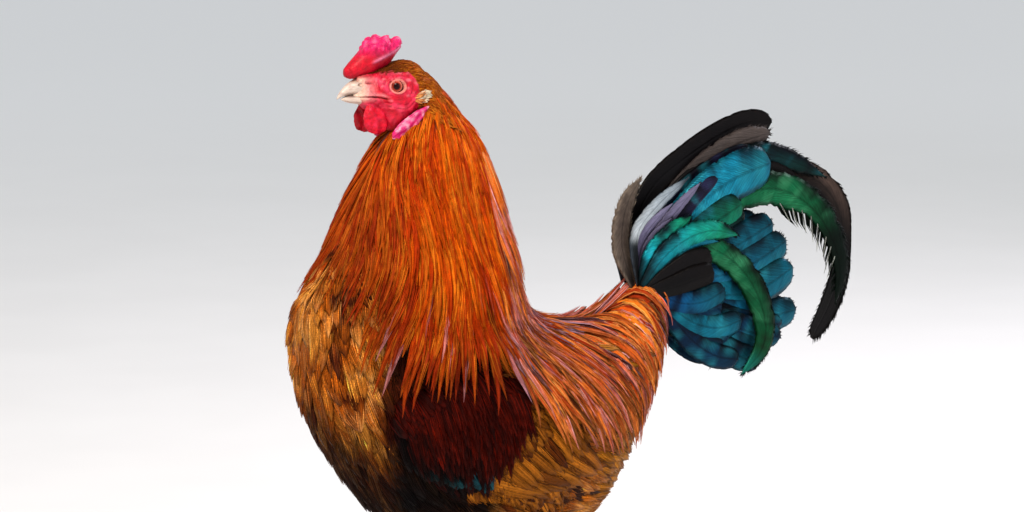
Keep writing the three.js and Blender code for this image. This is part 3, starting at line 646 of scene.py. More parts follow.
class Mesher:
    """Gathers rings of feathers and makes one mesh of them."""

    PATCH = 0.003
    SEAM = 0.04

    def __init__(self) -> None:
        """Starts with nothing gathered."""
        self.points: list[Array] = []
        self.colours: dict[str, list[Array]] = {"tint": [], "rim": []}
        self.maps: dict[str, list[Array]] = {"OFBake": [], "Vane": []}
        self.faces: list[Array] = []
        self.count = 0

    def add(self, rings: Array, across: Array, dyes: Dyes, root: Array, patch: float = PATCH) -> None:
        """Adds feathers that all have the same number of rings.

        Args:
            rings: feathers by rings by sides by three.
            across: each side's place across the vane, from 0 to 1.
            dyes: colour and gloss, inside and at the edges, feathers by rings (by sides) by four.
            root: each feather's place on the bake map.
            patch: the size of a feather there.
        """
        n, r, k = rings.shape[:3]
        v = np.broadcast_to(np.linspace(0, 1, r)[None, :, None], (n, r, k))
        u = np.broadcast_to(across[None, None, :], (n, r, k))
        vane = np.stack([u, v], -1)
        spread = vane - 0.5 + np.where(np.arange(k) > k // 2, self.SEAM, 0)[None, None, :, None]
        self.maps["OFBake"].append((root[:, None, None, :] + patch * spread).reshape(-1, 2))
        self.maps["Vane"].append(vane.reshape(-1, 2))
        for store, given in zip(self.colours.values(), dyes):
            full = given if given.ndim == 4 else given[:, :, None, :]
            store.append(np.broadcast_to(full, (n, r, k, 4)).reshape(-1, 4))
        self.points.append(rings.reshape(-1, 3))
        i, j = np.meshgrid(np.arange(r - 1), np.arange(k), indexing="ij")
        turn = (j + 1) % k
        quads = np.stack([i * k + j, i * k + turn, (i + 1) * k + turn, (i + 1) * k + j], -1).reshape(-1, 4)
        caps = np.stack([np.arange(k)[::-1], (r - 1) * k + np.arange(k)])
        start = self.count + np.arange(n)[:, None, None] * (r * k)
        self.faces += [(quads[None] + start).reshape(-1, 4), (caps[None] + start).reshape(-1, k)]
        self.count += n * r * k

    def build(self, name: str) -> Object:
        """Makes the object of all that was gathered.

        Args:
            name: its name.

        Returns:
            The object.
        """
        mesh = bpy.data.meshes.new(name)
        points = held(metres(np.concatenate(self.points))).astype(np.float32)
        loops = np.concatenate([faces.ravel() for faces in self.faces])
        sizes = np.concatenate([np.full(len(faces), faces.shape[1]) for faces in self.faces])
        mesh.vertices.add(len(points))
        mesh.vertices.foreach_set("co", points.ravel())
        mesh.loops.add(len(loops))
        mesh.loops.foreach_set("vertex_index", loops.astype(np.int32))
        mesh.polygons.add(len(sizes))
        mesh.polygons.foreach_set("loop_start", np.concatenate([[0], np.cumsum(sizes)[:-1]]).astype(np.int32))
        mesh.update(calc_edges=True)
        for title, stored in self.maps.items():
            layer = mesh.uv_layers.new(name=title)
            layer.data.foreach_set("uv", np.concatenate(stored)[loops].astype(np.float32).ravel())
        for title, stored in self.colours.items():
            layer = mesh.color_attributes.new(title, "FLOAT_COLOR", "POINT")
            layer.data.foreach_set("color", np.concatenate(stored).astype(np.float32).ravel())
        mesh.shade_smooth()
        return new_object(name, mesh)


# ------------------------------------------------------------ feathers


@dataclass(frozen=True)
class Cut:
    """A feather's outline and build.

    Widths are shares of the full width from quill to tip. Camber is how far the edges bow towards the body,
    and rise shapes how it lifts from root to tip.
    """

    widths: tuple[float, ...]
    thick: float = 0.9
    camber: float = 0.16
    rise: float = 0.9


LANCE = Cut((0.4, 0.8, 1.0, 1.0, 0.92, 0.78, 0.58, 0.34, 0.04), thick=0.8, camber=0.2)
LEAF = Cut((0.35, 0.8, 1.0, 1.0, 0.86, 0.56, 0.06), thick=0.8, camber=0.2)
SCALE = Cut((0.4, 0.86, 1.0, 0.98, 0.78, 0.2), camber=0.2)
BLUNT = Cut((0.5, 0.85, 1.0, 1.0, 1.0, 0.96, 0.84, 0.56, 0.1), thick=1.0, camber=0.12)
FRAY = Cut((0.3, 0.86, 1.0, 0.66, 0.04), thick=0.6, camber=0.1)
STRAND_TAPER = (0.55, 1.0, 1.0, 0.8, 0.5, 0.06)

ROOF = np.array([0.0, 0.5, 1.0])
WIDE = np.array([0.0, 0.14, 0.5, 0.86, 1.0, 0.86, 0.5, 0.14])

Flow = Callable[[Array, float], Array] | Array


@dataclass
class Laid:
    """Feathers laid over a form: each one's seat, way, side and up at each ring, and its half width."""

    cut: Cut
    seat: Array
    way: Array
    side: Array
    up: Array
    half: Array

    def vanes(self) -> Array:
        """Makes the vanes.

        Returns:
            Their rings, feathers by rings by three by three.
        """
        half = self.half[:, None, None] * np.array(self.cut.widths)[None, :, None]
        drop = self.up * half * self.cut.camber
        ridge = self.up * self.cut.thick / 2
        across = self.side * half
        return np.stack([self.seat + across - drop, self.seat + ridge, self.seat - across - drop], 2)

    def at(self, values: Array, t: Array) -> Array:
        """Reads values between the rings.

        Args:
            values: feathers by rings by three.
            t: a share of the length for each feather.

        Returns:
            One value for each feather.
        """
        last = values.shape[1] - 1
        x = np.clip(t, 0, 1) * last
        i = np.minimum(x.astype(int), last - 1)
        rows = np.arange(len(values))
        f = (x - i)[:, None]
        return values[rows, i] * (1 - f) + values[rows, i + 1] * f

    def strands(self, place: float, barbs: Barbs, rng: np.random.Generator) -> Array:
        """Makes one fine strand on each feather.

        Args:
            place: how far across the vane it lies, from -1 to 1.
            barbs: the strands' width, rings and splay.
            rng: the seeded numbers.

        Returns:
            Their rings, feathers by rings by three by three.
        """
        n = len(self.seat)
        end = rng.uniform(0.86, 1.06, n) * (1 - 0.16 * place**2)
        start = rng.uniform(0.0, 0.3, n)
        wander, curl = rng.normal(0, 0.5, n), rng.uniform(0, 2 * math.pi, n)
        rise = rng.uniform(0.1, 1.0, n)
        length = np.linalg.norm(self.seat[:, -1] - self.seat[:, 0], axis=-1)
        made = []
        for i in range(barbs.rings):
            s = i / (barbs.rings - 1)
            t = start + (end - start) * s
            half = self.half * (1 - (1 - barbs.splay) * np.clip(t, 0, 1) ** 2)
            seat, way, side, up = (self.at(v, t) for v in (self.seat, self.way, self.side, self.up))
            seat = seat + way * (np.maximum(t - 1, 0) * length)[:, None]
            off = place * half + wander * (0.2 + s) * np.sin(curl + 4 * s)
            lift = 0.35 + rise * s * s - np.abs(place) ** 2 * half * self.cut.camber
            spot = seat + side * off[:, None] + up * lift[:, None]
            thin = barbs.width / 2 * STRAND_TAPER[round(s * 5)]
            made.append(np.stack([spot + side * thin, spot + up * thin * 0.7, spot - side * thin], 1))
        return np.stack(made, 1)


@dataclass
class Batch:
    """Feathers of one kind: where they root, and each one's length, width, sinking and lift."""

    cut: Cut
    root: Array
    length: Array
    width: Array
    sunk: float
    lift: Array

    def lay(self, form: Field, flow: Flow, rng: np.random.Generator, yaw: float, roll: float) -> Laid:
        """Lays the feathers over a form.

        Args:
            form: the lattice of the form.
            flow: the way they run, or what gives it at points and a share of their length.
            rng: the seeded numbers for yaw and roll.
            yaw: how much each turns aside.
            roll: how much each tips to one side.

        Returns:
            The feathers as laid.
        """
        steps = len(self.cut.widths) - 1
        aside, tipped, bend = (rng.normal(0, much, (len(self.root), 1)) for much in (yaw, roll, yaw * 1.2))
        seat = form.settle(self.root, 0)
        rows = []
        for i in range(steps + 1):
            t = i / steps
            seat = form.settle(seat, mix(-self.sunk, self.lift, t**self.cut.rise), 5 if i == 0 else 3)
            normal = form.normal(seat)
            way = flow(seat, t) if callable(flow) else flow
            way = unit(way - normal * (way * normal).sum(-1, keepdims=True))
            way = unit(way + np.cross(normal, way) * (aside + bend * t))
            side = unit(np.cross(normal, way) + normal * tipped)
            rows.append(np.stack([seat, way, side, np.cross(way, side)]))
            seat = seat + way * (self.length / steps)[:, None]
        return Laid(self.cut, *np.stack(rows, 2), self.width / 2)


def scatter(
    form: Field,
    keep: Callable[[Array], Array],
    spacing: Callable[[Array], Array],
    tries: int,
    seed: int,
    stretch: Sequence[float] = (1, 1, 1),
) -> Array:
    """Scatters points evenly over a form.

    Args:
        form: the lattice of the form.
        keep: says which points may stay.
        spacing: the least distance between neighbours at each point.
        tries: how many points are thrown.
        seed: which throw.
        stretch: how much each axis counts in the spacing, so that rows along the lie lie farther apart.

    Returns:
        The points.
    """
    rng = np.random.default_rng(seed)
    near = np.argwhere(np.abs(form.nodes[..., 0]) < Field.STEP * 0.75)
    chosen = near[rng.integers(0, len(near), tries)] + rng.uniform(-0.5, 0.5, (tries, 3))
    p = form.settle(Field.LOW + chosen * Field.STEP, 0)
    p = p[keep(p)]
    gaps = spacing(p)
    cell = float(gaps.max())
    taken: dict[tuple[int, int, int], list[int]] = {}
    kept: list[int] = []
    pressed = p * np.array(stretch)
    keys = np.floor(pressed / cell).astype(int)
    around = [tuple(int(v) - 1 for v in c) for c in np.ndindex(3, 3, 3)]
    places = pressed.tolist()
    for i, (a, b, c) in enumerate(keys.tolist()):
        x, y, z = places[i]
        gap = gaps[i] ** 2
        free = True
        for da, db, dc in around:
            for j in taken.get((a + da, b + db, c + dc), ()):
                u, v, w = places[j]
                if (x - u) ** 2 + (y - v) ** 2 + (z - w) ** 2 < gap:
                    free = False
                    break
            if not free:
                break
        if free:
            taken.setdefault((a, b, c), []).append(i)
            kept.append(i)
    return p[kept]


# ------------------------------------------------------------ materials


class Nodes:
    """A node tree that is filled from code."""

    def __init__(self, tree: bpy.types.NodeTree) -> None:
        """Keeps the tree."""
        self.tree = tree

    def feed(self, node: bpy.types.Node, inputs: dict) -> bpy.types.Node:
        """Sets or links a node's inputs.

        Args:
            node: the node.
            inputs: values or sockets for its inputs.

        Returns:
            The node.
        """
        for key, value in inputs.items():
            if isinstance(value, Socket):
                self.tree.links.new(value, node.inputs[key])
            else:
                node.inputs[key].default_value = value
        return node

    def add(self, kind: str, inputs: dict | None = None, **settings: object) -> bpy.types.Node:
        """Adds a node.

        Args:
            kind: the node's type, without ShaderNode.
            inputs: values or sockets for its inputs.
            settings: the node's own settings.

        Returns:
            The node.
        """
        node = self.tree.nodes.new("ShaderNode" + kind)
        for key, value in settings.items():
            setattr(node, key, value)
        return self.feed(node, inputs or {})

    def math(self, operation: str, *values: object) -> Socket:
        """A sum of numbers or sockets."""
        return self.add("Math", dict(enumerate(values)), operation=operation).outputs[0]

    def scaled(self, value: object, by: float, plus: float) -> Socket:
        """A value times a number, plus another."""
        return self.math("MULTIPLY_ADD", value, by, plus)

    def times(self, first: object, *others: object) -> Socket:
        """Numbers or sockets multiplied.

        Args:
            first: the first of them.
            others: all the others.

        Returns:
            Their product.
        """
        for other in others:
            first = self.math("MULTIPLY", first, other)
        return first

    def ramp(self, value: object, low: object, high: object, start: object = 0, end: object = 1) -> Socket:
        """A smooth step of a value from start at low to end at high."""
        inputs = {"Value": value, "From Min": low, "From Max": high, "To Min": start, "To Max": end}
        return self.add("MapRange", inputs, interpolation_type="SMOOTHSTEP").outputs[0]

    def blend(self, share: object, a: object, b: object, kind: str = "MIX") -> Socket:
        """A mix of two colours."""
        return self.add("Mix", {0: share, 6: a, 7: b}, data_type="RGBA", blend_type=kind).outputs[2]

    def noise(self, vector: object, scale: object, detail: object, rough: object = 0.55) -> Socket:
        """A noise's value."""
        inputs = {"Vector": vector, "Scale": scale, "Detail": detail, "Roughness": rough}
        return self.add("TexNoise", inputs).outputs[0]

    def tint(self, name: str = "tint") -> bpy.types.NodeOutputs:
        """The colour and gloss of a mesh's own attribute."""
        return self.add("Attribute", attribute_name=name).outputs

    def places(self) -> Socket:
        """Object coordinates."""
        return self.add("TexCoord").outputs["Object"]

    def bump(self, height: object, strength: float, distance: float) -> Socket:
        """A bumped normal."""
        return self.add("Bump", {"Height": height, "Strength": strength, "Distance": distance}).outputs[0]


def rgba(code: str) -> tuple[float, ...]:
    """A hex code's linear colour, with an alpha of one."""
    return (*(float(value) for value in colour(code)), 1.0)


@dataclass
class Effect:
    """A node group that several finishes share: its name, and the kinds of its inputs and outputs."""

    name: str
    inputs: dict[str, str]
    outputs: dict[str, str]

    def build(self, fill: Callable[[Nodes, bpy.types.NodeOutputs], dict[str, Socket]]) -> bpy.types.NodeTree:
        """Builds the group.

        Args:
            fill: adds its nodes, and gives the socket for each output.

        Returns:
            Its tree.
        """
        tree = bpy.data.node_groups.new(self.name, "ShaderNodeTree")
        for way, sockets in (("INPUT", self.inputs), ("OUTPUT", self.outputs)):
            for title, kind in sockets.items():
                tree.interface.new_socket(name=title, in_out=way, socket_type="NodeSocket" + kind)
        nodes = Nodes(tree)
        enter, leave = tree.nodes.new("NodeGroupInput"), tree.nodes.new("NodeGroupOutput")
        nodes.feed(leave, fill(nodes, enter.outputs))
        return tree


@dataclass(frozen=True)
class Effects:
    """The shared node groups."""

    vane: bpy.types.NodeTree
    mottle: bpy.types.NodeTree
    shade: bpy.types.NodeTree

    @classmethod
    def build(cls) -> Effects:
        """Builds each group once.

        Returns:
            The groups.
        """
        numbers = ("Scale", "Detail", "Rough", "Low", "High", "Dark", "Light")
        marks = ("Edge", "Tip", "Shaft", "Barbs", "Clumps", "Height")
        quill = {"Place": "Vector", "Barb count": "Float", "Slant": "Float"}
        noise = {"Place": "Vector", **dict.fromkeys(numbers, "Float")}
        vane = Effect("vane", quill, dict.fromkeys(marks, "Float"))
        mottle = Effect("mottle", noise, {"Value": "Float", "Shade": "Float"})
        shade = Effect("shade", {"Colour": "Color", "Shade": "Float"}, {"Colour": "Color"})
        return cls(vane.build(cls.fill_vane), mottle.build(cls.fill_mottle), shade.build(cls.fill_shade))

    @staticmethod
    def fill_vane(nodes: Nodes, given: bpy.types.NodeOutputs) -> dict[str, Socket]:
        """Finds edge, tip, shaft and barbs on a feather's own map.

        Args:
            nodes: the group's nodes.
            given: its inputs.

        Returns:
            Its outputs.
        """
        split = nodes.add("SeparateXYZ", {0: given["Place"]}).outputs
        off = nodes.math("SUBTRACT", split[0], 0.5)
        across = nodes.times(nodes.math("ABSOLUTE", off), 2.0)
        run = nodes.math("ADD", split[1], nodes.times(across, given["Slant"]))
        wander = nodes.times(nodes.noise(given["Place"], 7.0, 2), 3.0)
        phase = nodes.math("ADD", nodes.times(run, given["Barb count"]), wander)
        barbs = nodes.scaled(nodes.math("SINE", nodes.times(phase, 2 * math.pi)), 0.5, 0.5)
        shaft = nodes.ramp(across, 0.03, 0.12, 1, 0)
        lanes = nodes.times(run, nodes.times(given["Barb count"], 0.9))
        lane = {0: nodes.times(across, 0.7), 1: lanes, 2: nodes.math("SIGN", off)}
        lane = nodes.add("CombineXYZ", lane).outputs[0]
        return {
            "Edge": nodes.ramp(across, 0.3, 1.0),
            "Tip": nodes.ramp(split[1], 0.55, 1.0),
            "Shaft": shaft,
            "Barbs": barbs,
            "Clumps": nodes.ramp(nodes.noise(lane, 1.0, 3, 0.6), 0.3, 0.66),
            "Height": nodes.scaled(shaft, 1.2, nodes.times(barbs, 0.5)),
        }

    @staticmethod
    def fill_mottle(nodes: Nodes, given: bpy.types.NodeOutputs) -> dict[str, Socket]:
        """Finds a noise's value, and a shade that runs from dark to light with it.

        Args:
            nodes: the group's nodes.
            given: its inputs.

        Returns:
            Its outputs.
        """
        value = nodes.noise(given["Place"], given["Scale"], given["Detail"], given["Rough"])
        shade = nodes.ramp(value, *(given[key] for key in ("Low", "High", "Dark", "Light")))
        return {"Value": value, "Shade": shade}

    @staticmethod
    def fill_shade(nodes: Nodes, given: bpy.types.NodeOutputs) -> dict[str, Socket]:
        """A colour made lighter or darker."""
        grey = nodes.add("CombineColor", dict.fromkeys(range(3), given["Shade"])).outputs[0]
        return {"Colour": nodes.blend(1.0, given["Colour"], grey, "MULTIPLY")}


@dataclass(frozen=True)
class Finish:
    """What all finishes share: a name, the shared node groups, and how a material is made."""

    name: str
    effects: Effects

    def build(self) -> Material:
        """Makes the material.

        Returns:
            The material.
        """
        material = bpy.data.materials.new(self.name)
        material.use_nodes = True
        nodes = Nodes(material.node_tree)
        nodes.feed(material.node_tree.nodes["Principled BSDF"], self.looks(nodes))
        return material

    def looks(self, nodes: Nodes) -> dict[str, object]:
        """What feeds the shader's inputs."""
        raise NotImplementedError

    def mottled(self, nodes: Nodes, place: Socket, *values: float) -> bpy.types.NodeOutputs:
        """Places the mottle group.

        Args:
            nodes: the material's nodes.
            place: where its noise is read.
            values: scale, detail, roughness, low and high values, and the shades there.

        Returns:
            Its outputs.
        """
        titles = ("Scale", "Detail", "Rough", "Low", "High", "Dark", "Light")
        inputs = {"Place": place, **dict(zip(titles, values))}
        return nodes.add("Group", inputs, node_tree=self.effects.mottle).outputs

    def shaded(self, nodes: Nodes, base: Socket, shade: Socket) -> Socket:
        """A colour made lighter or darker by the shared group."""
        return nodes.add("Group", {"Colour": base, "Shade": shade}, node_tree=self.effects.shade).outputs[0]


@dataclass(frozen=True)
class Plumage(Finish):
    """A feather finish: how its edges, barbs and sheen look. Colours come with each feather."""

    barbs: float = 30
    slant: float = 0.4
    edge: float = 0.7
    tip: float = 0.6
    streak: float = 0.35
    clump: float = 0.3
    shaft: float = 0.2
    roughness: float = 0.5
    specular: float = 0.1

    def looks(self, nodes: Nodes) -> dict[str, object]:
        """Gives what feeds the shader.

        Args:
            nodes: the material's nodes.

        Returns:
            Values and sockets for the shader's inputs.
        """
        tint, rim = nodes.tint(), nodes.tint("rim")
        place = nodes.add("UVMap", uv_map="Vane").outputs[0]
        inputs = {"Place": place, "Barb count": self.barbs, "Slant": self.slant}
        vane = nodes.add("Group", inputs, node_tree=self.effects.vane).outputs
        patches = self.mottled(nodes, nodes.places(), 160.0, 3, 0.55, 0.2, 0.8, 0.78, 1.18)
        edge, tip = nodes.times(vane["Edge"], self.edge), nodes.times(vane["Tip"], self.tip)
        outer = nodes.math("MAXIMUM", edge, tip)
        share = nodes.times(outer, nodes.ramp(patches["Value"], 0.25, 0.6, 0.55, 1.0))
        shade = nodes.times(
            nodes.scaled(vane["Barbs"], self.streak, 1 - self.streak),
            patches["Shade"],
            nodes.scaled(vane["Clumps"], self.clump, 1.1 - self.clump),
            nodes.scaled(vane["Shaft"], -self.shaft, 1.0),
        )
        return {
            "Base Color": self.shaded(nodes, nodes.blend(share, tint["Color"], rim["Color"]), shade),
            "Metallic": tint["Alpha"],
            "Roughness": nodes.scaled(vane["Barbs"], 0.12, self.roughness - 0.06),
            "Normal": nodes.bump(vane["Height"], 0.35, 0.0006),
            "Specular IOR Level": self.specular,
        }


@dataclass(frozen=True)
class Flesh(Finish):
    """A finish for bare skin: wet red folds with fine grain. The colour is the mesh's own."""

    grain: float = 900
    relief: float = 0.5
    depth: float = 0.0005
    roughness: float = 0.42
    coat: float = 0.06
    soak: float = 0.1

    def looks(self, nodes: Nodes) -> dict[str, object]:
        """Gives what feeds the shader.

        Args:
            nodes: the material's nodes.

        Returns:
            Values and sockets for the shader's inputs.
        """
        place = nodes.places()
        fine = nodes.add("TexVoronoi", {"Vector": place, "Scale": self.grain}).outputs["Distance"]
        broad = self.mottled(nodes, place, self.grain / 5, 4, 0.55, 0.25, 0.75, 0.72, 1.2)
        shade = nodes.times(broad["Shade"], nodes.ramp(fine, 0.0, 0.6, 1.12, 0.82))
        height = nodes.scaled(fine, -0.6, nodes.times(broad["Value"], 1.2))
        return {
            "Base Color": self.shaded(nodes, nodes.tint()["Color"], shade),
            "Normal": nodes.bump(height, self.relief, self.depth),
            "Roughness": nodes.ramp(broad["Value"], 0.2, 0.8, self.roughness - 0.08, self.roughness + 0.1),
            "Specular IOR Level": 0.18,
            "Coat Weight": self.coat,
            "Coat Roughness": 0.25,
            "Subsurface Weight": self.soak,
            "Subsurface Radius": (0.004, 0.0012, 0.0008),
        }


@dataclass(frozen=True)
class Horn(Finish):
    """A finish for beak, claws and spurs: pale horn with fine growth lines along it."""

    pale: str = "d8c39a"
    dark: str = "8c6c44"
    roughness: float = 0.4

    def looks(self, nodes: Nodes) -> dict[str, object]:
        """Gives what feeds the shader.

        Args:
            nodes: the material's nodes.

        Returns:
            Values and sockets for the shader's inputs.
        """
        lines = nodes.add("Mapping", {"Vector": nodes.places(), "Scale": (1.0, 0.15, 1.0)}).outputs[0]
        dull, dry = self.roughness - 0.08, self.roughness + 0.12
        streaks = self.mottled(nodes, lines, 420.0, 4, 0.6, 0.2, 0.8, dull, dry)
        base = nodes.blend(nodes.ramp(streaks["Value"], 0.35, 0.75), rgba(self.pale), rgba(self.dark))
        return {
            "Base Color": nodes.blend(1.0, base, nodes.tint()["Color"], "MULTIPLY"),
            "Roughness": streaks["Shade"],
            "Normal": nodes.bump(streaks["Value"], 0.25, 0.0003),
            "Subsurface Weight": 0.08,
            "Subsurface Radius": (0.003, 0.002, 0.001),
        }


@dataclass(frozen=True)
class Wet(Finish):
    """The finish of the eye: its colour is the mesh's own, under a clear wet coat."""

    def looks(self, nodes: Nodes) -> dict[str, object]:
        """Gives what feeds the shader.

        Args:
            nodes: the material's nodes.

        Returns:
            Values and sockets for the shader's inputs.
        """
        fibres = self.mottled(nodes, nodes.places(), 1400.0, 4, 0.6, 0.3, 0.7, 0.8, 1.15)
        return {
            "Base Color": self.shaded(nodes, nodes.tint()["Color"], fibres["Shade"]),
            "Roughness": nodes.ramp(fibres["Value"], 0.2, 0.8, 0.06, 0.14),
            "Specular IOR Level": 0.06,
            "Coat Weight": 0.14,
            "Coat Roughness": 0.02,
        }


@dataclass(frozen=True)
class Ground(Finish):
    """The pale studio floor, paler still far away."""

    shades: tuple[str, str, str] = ("e6e4e0", "e9e7e3", "f8f7f5")

    def looks(self, nodes: Nodes) -> dict[str, object]:
        """Gives what feeds the shader.

        Args:
            nodes: the material's nodes.

        Returns:
            Values and sockets for the shader's inputs.
        """
        place = nodes.places()
        first, second, distant = (rgba(shade) for shade in self.shades)
        cloud = self.mottled(nodes, place, 3.0, 2, 0.55, 0.3, 0.7, 0, 1)
        far = nodes.ramp(nodes.add("VectorMath", {0: place}, operation="LENGTH").outputs["Value"], 1.2, 7.0)
        return {
            "Base Color": nodes.blend(far, nodes.blend(cloud["Shade"], first, second), distant),
            "Roughness": 0.8,
        }


def paint(piece: Object, tint: Form) -> None:
    """Gives a mesh its own colour.

    Args:
        piece: the object.
        tint: linear colours for points in the bird's measure.
    """
    mesh = piece.data
    co = np.zeros(len(mesh.vertices) * 3, np.float32)
    mesh.vertices.foreach_get("co", co)
    shades = tint(co.reshape(-1, 3).astype(float) * 1000 - SHIFT)
    layer = mesh.color_attributes.new("tint", "FLOAT_COLOR", "POINT")
    full = np.concatenate([np.clip(shades, 0, 1), np.ones((len(shades), 1))], -1)
    layer.data.foreach_set("color", full.astype(np.float32).ravel())


def dress(piece: Object, material: Material, slot: str, *nodes: str) -> Object:
    """Finishes a piece.

    Args:
        piece: the piece.
        material: its material.
        slot: not used.
        nodes: the solids that it stands for.

    Returns:
        The piece.
    """
    piece.data.materials.clear()
    piece.data.materials.append(material)
    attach(piece, "root")
    if nodes:
        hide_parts(*nodes)
    LOG.info("%s: %d faces", piece.name, len(piece.data.polygons))
    return piece


def solid(name: str, shape: Shape, tint: Form, material: Material, slot: str, *nodes: str) -> Object:
    """Makes, paints and finishes a piece of bare skin, horn or scales.

    Args:
        name: the piece's name.
        shape: its surface, which is freed.
        tint: its own colours.
        material: its material.
        slot: not used.
        nodes: the solids that it stands for.

    Returns:
        The piece.
    """
    piece = meshed(name, shape)
    paint(piece, tint)
    return dress(piece, material, slot, *nodes)


# ------------------------------------------------------------ the skin


def from_eye(p: Array) -> Array:
    """How far points lie round the eye, in mm."""
    return np.hypot((p[..., 1] - EYE[1]) / 1.14, (p[..., 2] - EYE[2]) / 0.94)


def mouth_line(p: Array) -> Array:
    """How far points lie above the mouth's line, in mm."""
    return p[..., 2] - 586.6 + 0.012 * (p[..., 1] + 116) ** 2


class Head:
    """The bare head: skull, throat, cheeks, brows, lids and folds, as one distance and one shell."""

    LINE = ((-130, 589), (-116, 589), (-100, 584), (-70, 584), (-54, 589))
    SHELL = Shell(LINE, (-130, -54), 170, 190, 0.5, 46)
    # Centre, radii and blend of throat, cheek, lore, brow and the swelling over the beak.
    LUMPS = (
        ((0, -91, 569), (17, 14, 14), 7),
        ((11.5, -84, 583), (7.5, 15, 10), 7),
        ((10.5, -108, 588), (4.5, 12, 6), 5),
        ((11.2, -95, 606.6), (4.6, 13, 3.2), 4),
        ((4.0, -116.5, 602), (5.0, 9.5, 4.6), 3),
    )
    # Radius, x, backward curve, thickness and blend of the lids' two folds.
    LIDS = ((6.1, 3.4, 0.012, 0.8, 0.9), (8.5, 3.2, 0.02, 0.75, 1.4))
    NOSTRIL = ((9.6, -117, 598.6), (2.4, 3.4, 1.2))
    SOCKET = 7.0

    @staticmethod
    def bulge(p: Array, centre: Sequence[float], radii: Sequence[float]) -> Array:
        """Distance outside an ellipsoid."""
        return (np.linalg.norm((p - np.array(centre)) / np.array(radii), axis=-1) - 1) * min(radii)

    @classmethod
    def outside(cls, p: Array) -> Array:
        """Finds how far outside the head's skin points lie, the same on both sides.

        Args:
            p: the points.

        Returns:
            The distances.
        """
        q = mirrored(np.array(p, float))
        x, y, z = np.moveaxis(q, -1, 0)
        shell = HEAD.outside(q) + 3.2 * smooth(-117, -127, y)
        for centre, radii, blend in cls.LUMPS:
            shell = soft_min(shell, cls.bulge(q, centre, radii), blend)
        round_eye = from_eye(q)
        ripple = np.sin(round_eye * 1.7 + 2.6 * waves(q, 15, 5)) * smooth(-0.7, 0.6, waves(q, 11, 6))
        folds = 0.4 * ripple * smooth(8.5, 12, round_eye) * smooth(32, 18, round_eye)
        pits = 0.42 * waves(q, 5.5, 8, 9) + 0.26 * waves(q, 2.6, 9, 11)
        shell = shell - (folds + pits) * (smooth(-62, -74, y) * smooth(612, 604, z))
        off = q - EYE
        socket = np.linalg.norm(off * np.array([1, 0.94, 1.04]), axis=-1) - cls.SOCKET
        shell = -soft_min(-shell, socket, 2.2)
        for radius, out, curve, thick, blend in cls.LIDS:
            lid = np.hypot(round_eye - radius, (off[..., 0] - out + curve * off[..., 1] ** 2) / 1.1) - thick
            shell = soft_min(shell, lid, blend)
        corner = (x - 17.5 + 0.55 * np.maximum(-108 - y, 0)) / 5
        groove = np.hypot(corner, mouth_line(q) / 0.8) - 1 + smooth(11, 20, np.abs(y + 115)) * 3
        shell = -soft_min(-shell, groove, 1.2)
        return -soft_min(-shell, cls.bulge(q, *cls.NOSTRIL), 1.0)

    @staticmethod
    def into_feathers(p: Array) -> Array:
        """Finds how far points lie past the bare face's edge, towards crown and nape.

        Args:
            p: the points.

        Returns:
            Distances in mm.
        """
        over = p[..., 2] - 607.5 - 0.06 * (p[..., 1] + 94)
        over = np.where(p[..., 1] > -117, over, -9.0)
        behind = p[..., 1] + 73.5 + 0.028 * np.maximum(p[..., 2] - 590, 0) ** 2
        return np.maximum(over, behind)

    @staticmethod
    def tint(p: Array) -> Array:
        """Gives the head's colours.

        Args:
            p: points of its skin.

        Returns:
            Linear colours.
        """
        y, z = p[:, 1], p[:, 2]
        away, line = from_eye(p), mouth_line(p)
        nostril = np.hypot((y + 117) / 3.6, (z - 598.6) / 1.5)
        pale = smooth(0.0, 0.9, waves(p * np.array([1, 0.6, 1.4]), 6.5, 35, 8)) * smooth(26, 12, away)
        cere = mix(colour("e88a8a"), colour("ecd0b8"), smooth(-117, -124, y)[:, None])
        cap = smooth(602.5, 605.5, z - 0.1 * (y + 110)) * smooth(-100, -108, y)
        return layered(
            colour("d40a2c"),
            ("f03c62", smooth(-0.4, 0.8, waves(p, 13, 31, 8)) * 0.8),
            ("8c0414", 0.4 * smooth(-0.3, 0.8, waves(p, 4.2, 33, 9))),
            ("f6808e", 0.6 * pale),
            ("f2a08e", 0.7 * (smooth(7.3, 6.5, away) * smooth(4.6, 5.4, away))),
            ("8c0414", 0.55 * bell(away - 7.6, 0.5)),
            # Darker red low on the throat: partly its own deeper red, partly painted shade under the head.
            ("b41428", 0.55 * smooth(580, 568, z)),
            ("9a4a44", 0.45 * (bell(line, 0.9) * smooth(-98, -104, y))),
            ("f49a9c", 0.5 * (bell(line - 2.2, 1.2) * smooth(-98, -106, y))),
            (cere, 0.85 * (smooth(-109, -120, y) * smooth(580, 586, z))),
            # Dark nostril: painted shade in its pit.
            ("7a1c20", 0.75 * smooth(1.2, 0.5, nostril)),
            ("c00a2c", 0.85 * cap),
            ("5e2a0e", smooth(-0.5, 3, Head.into_feathers(p))),
        )


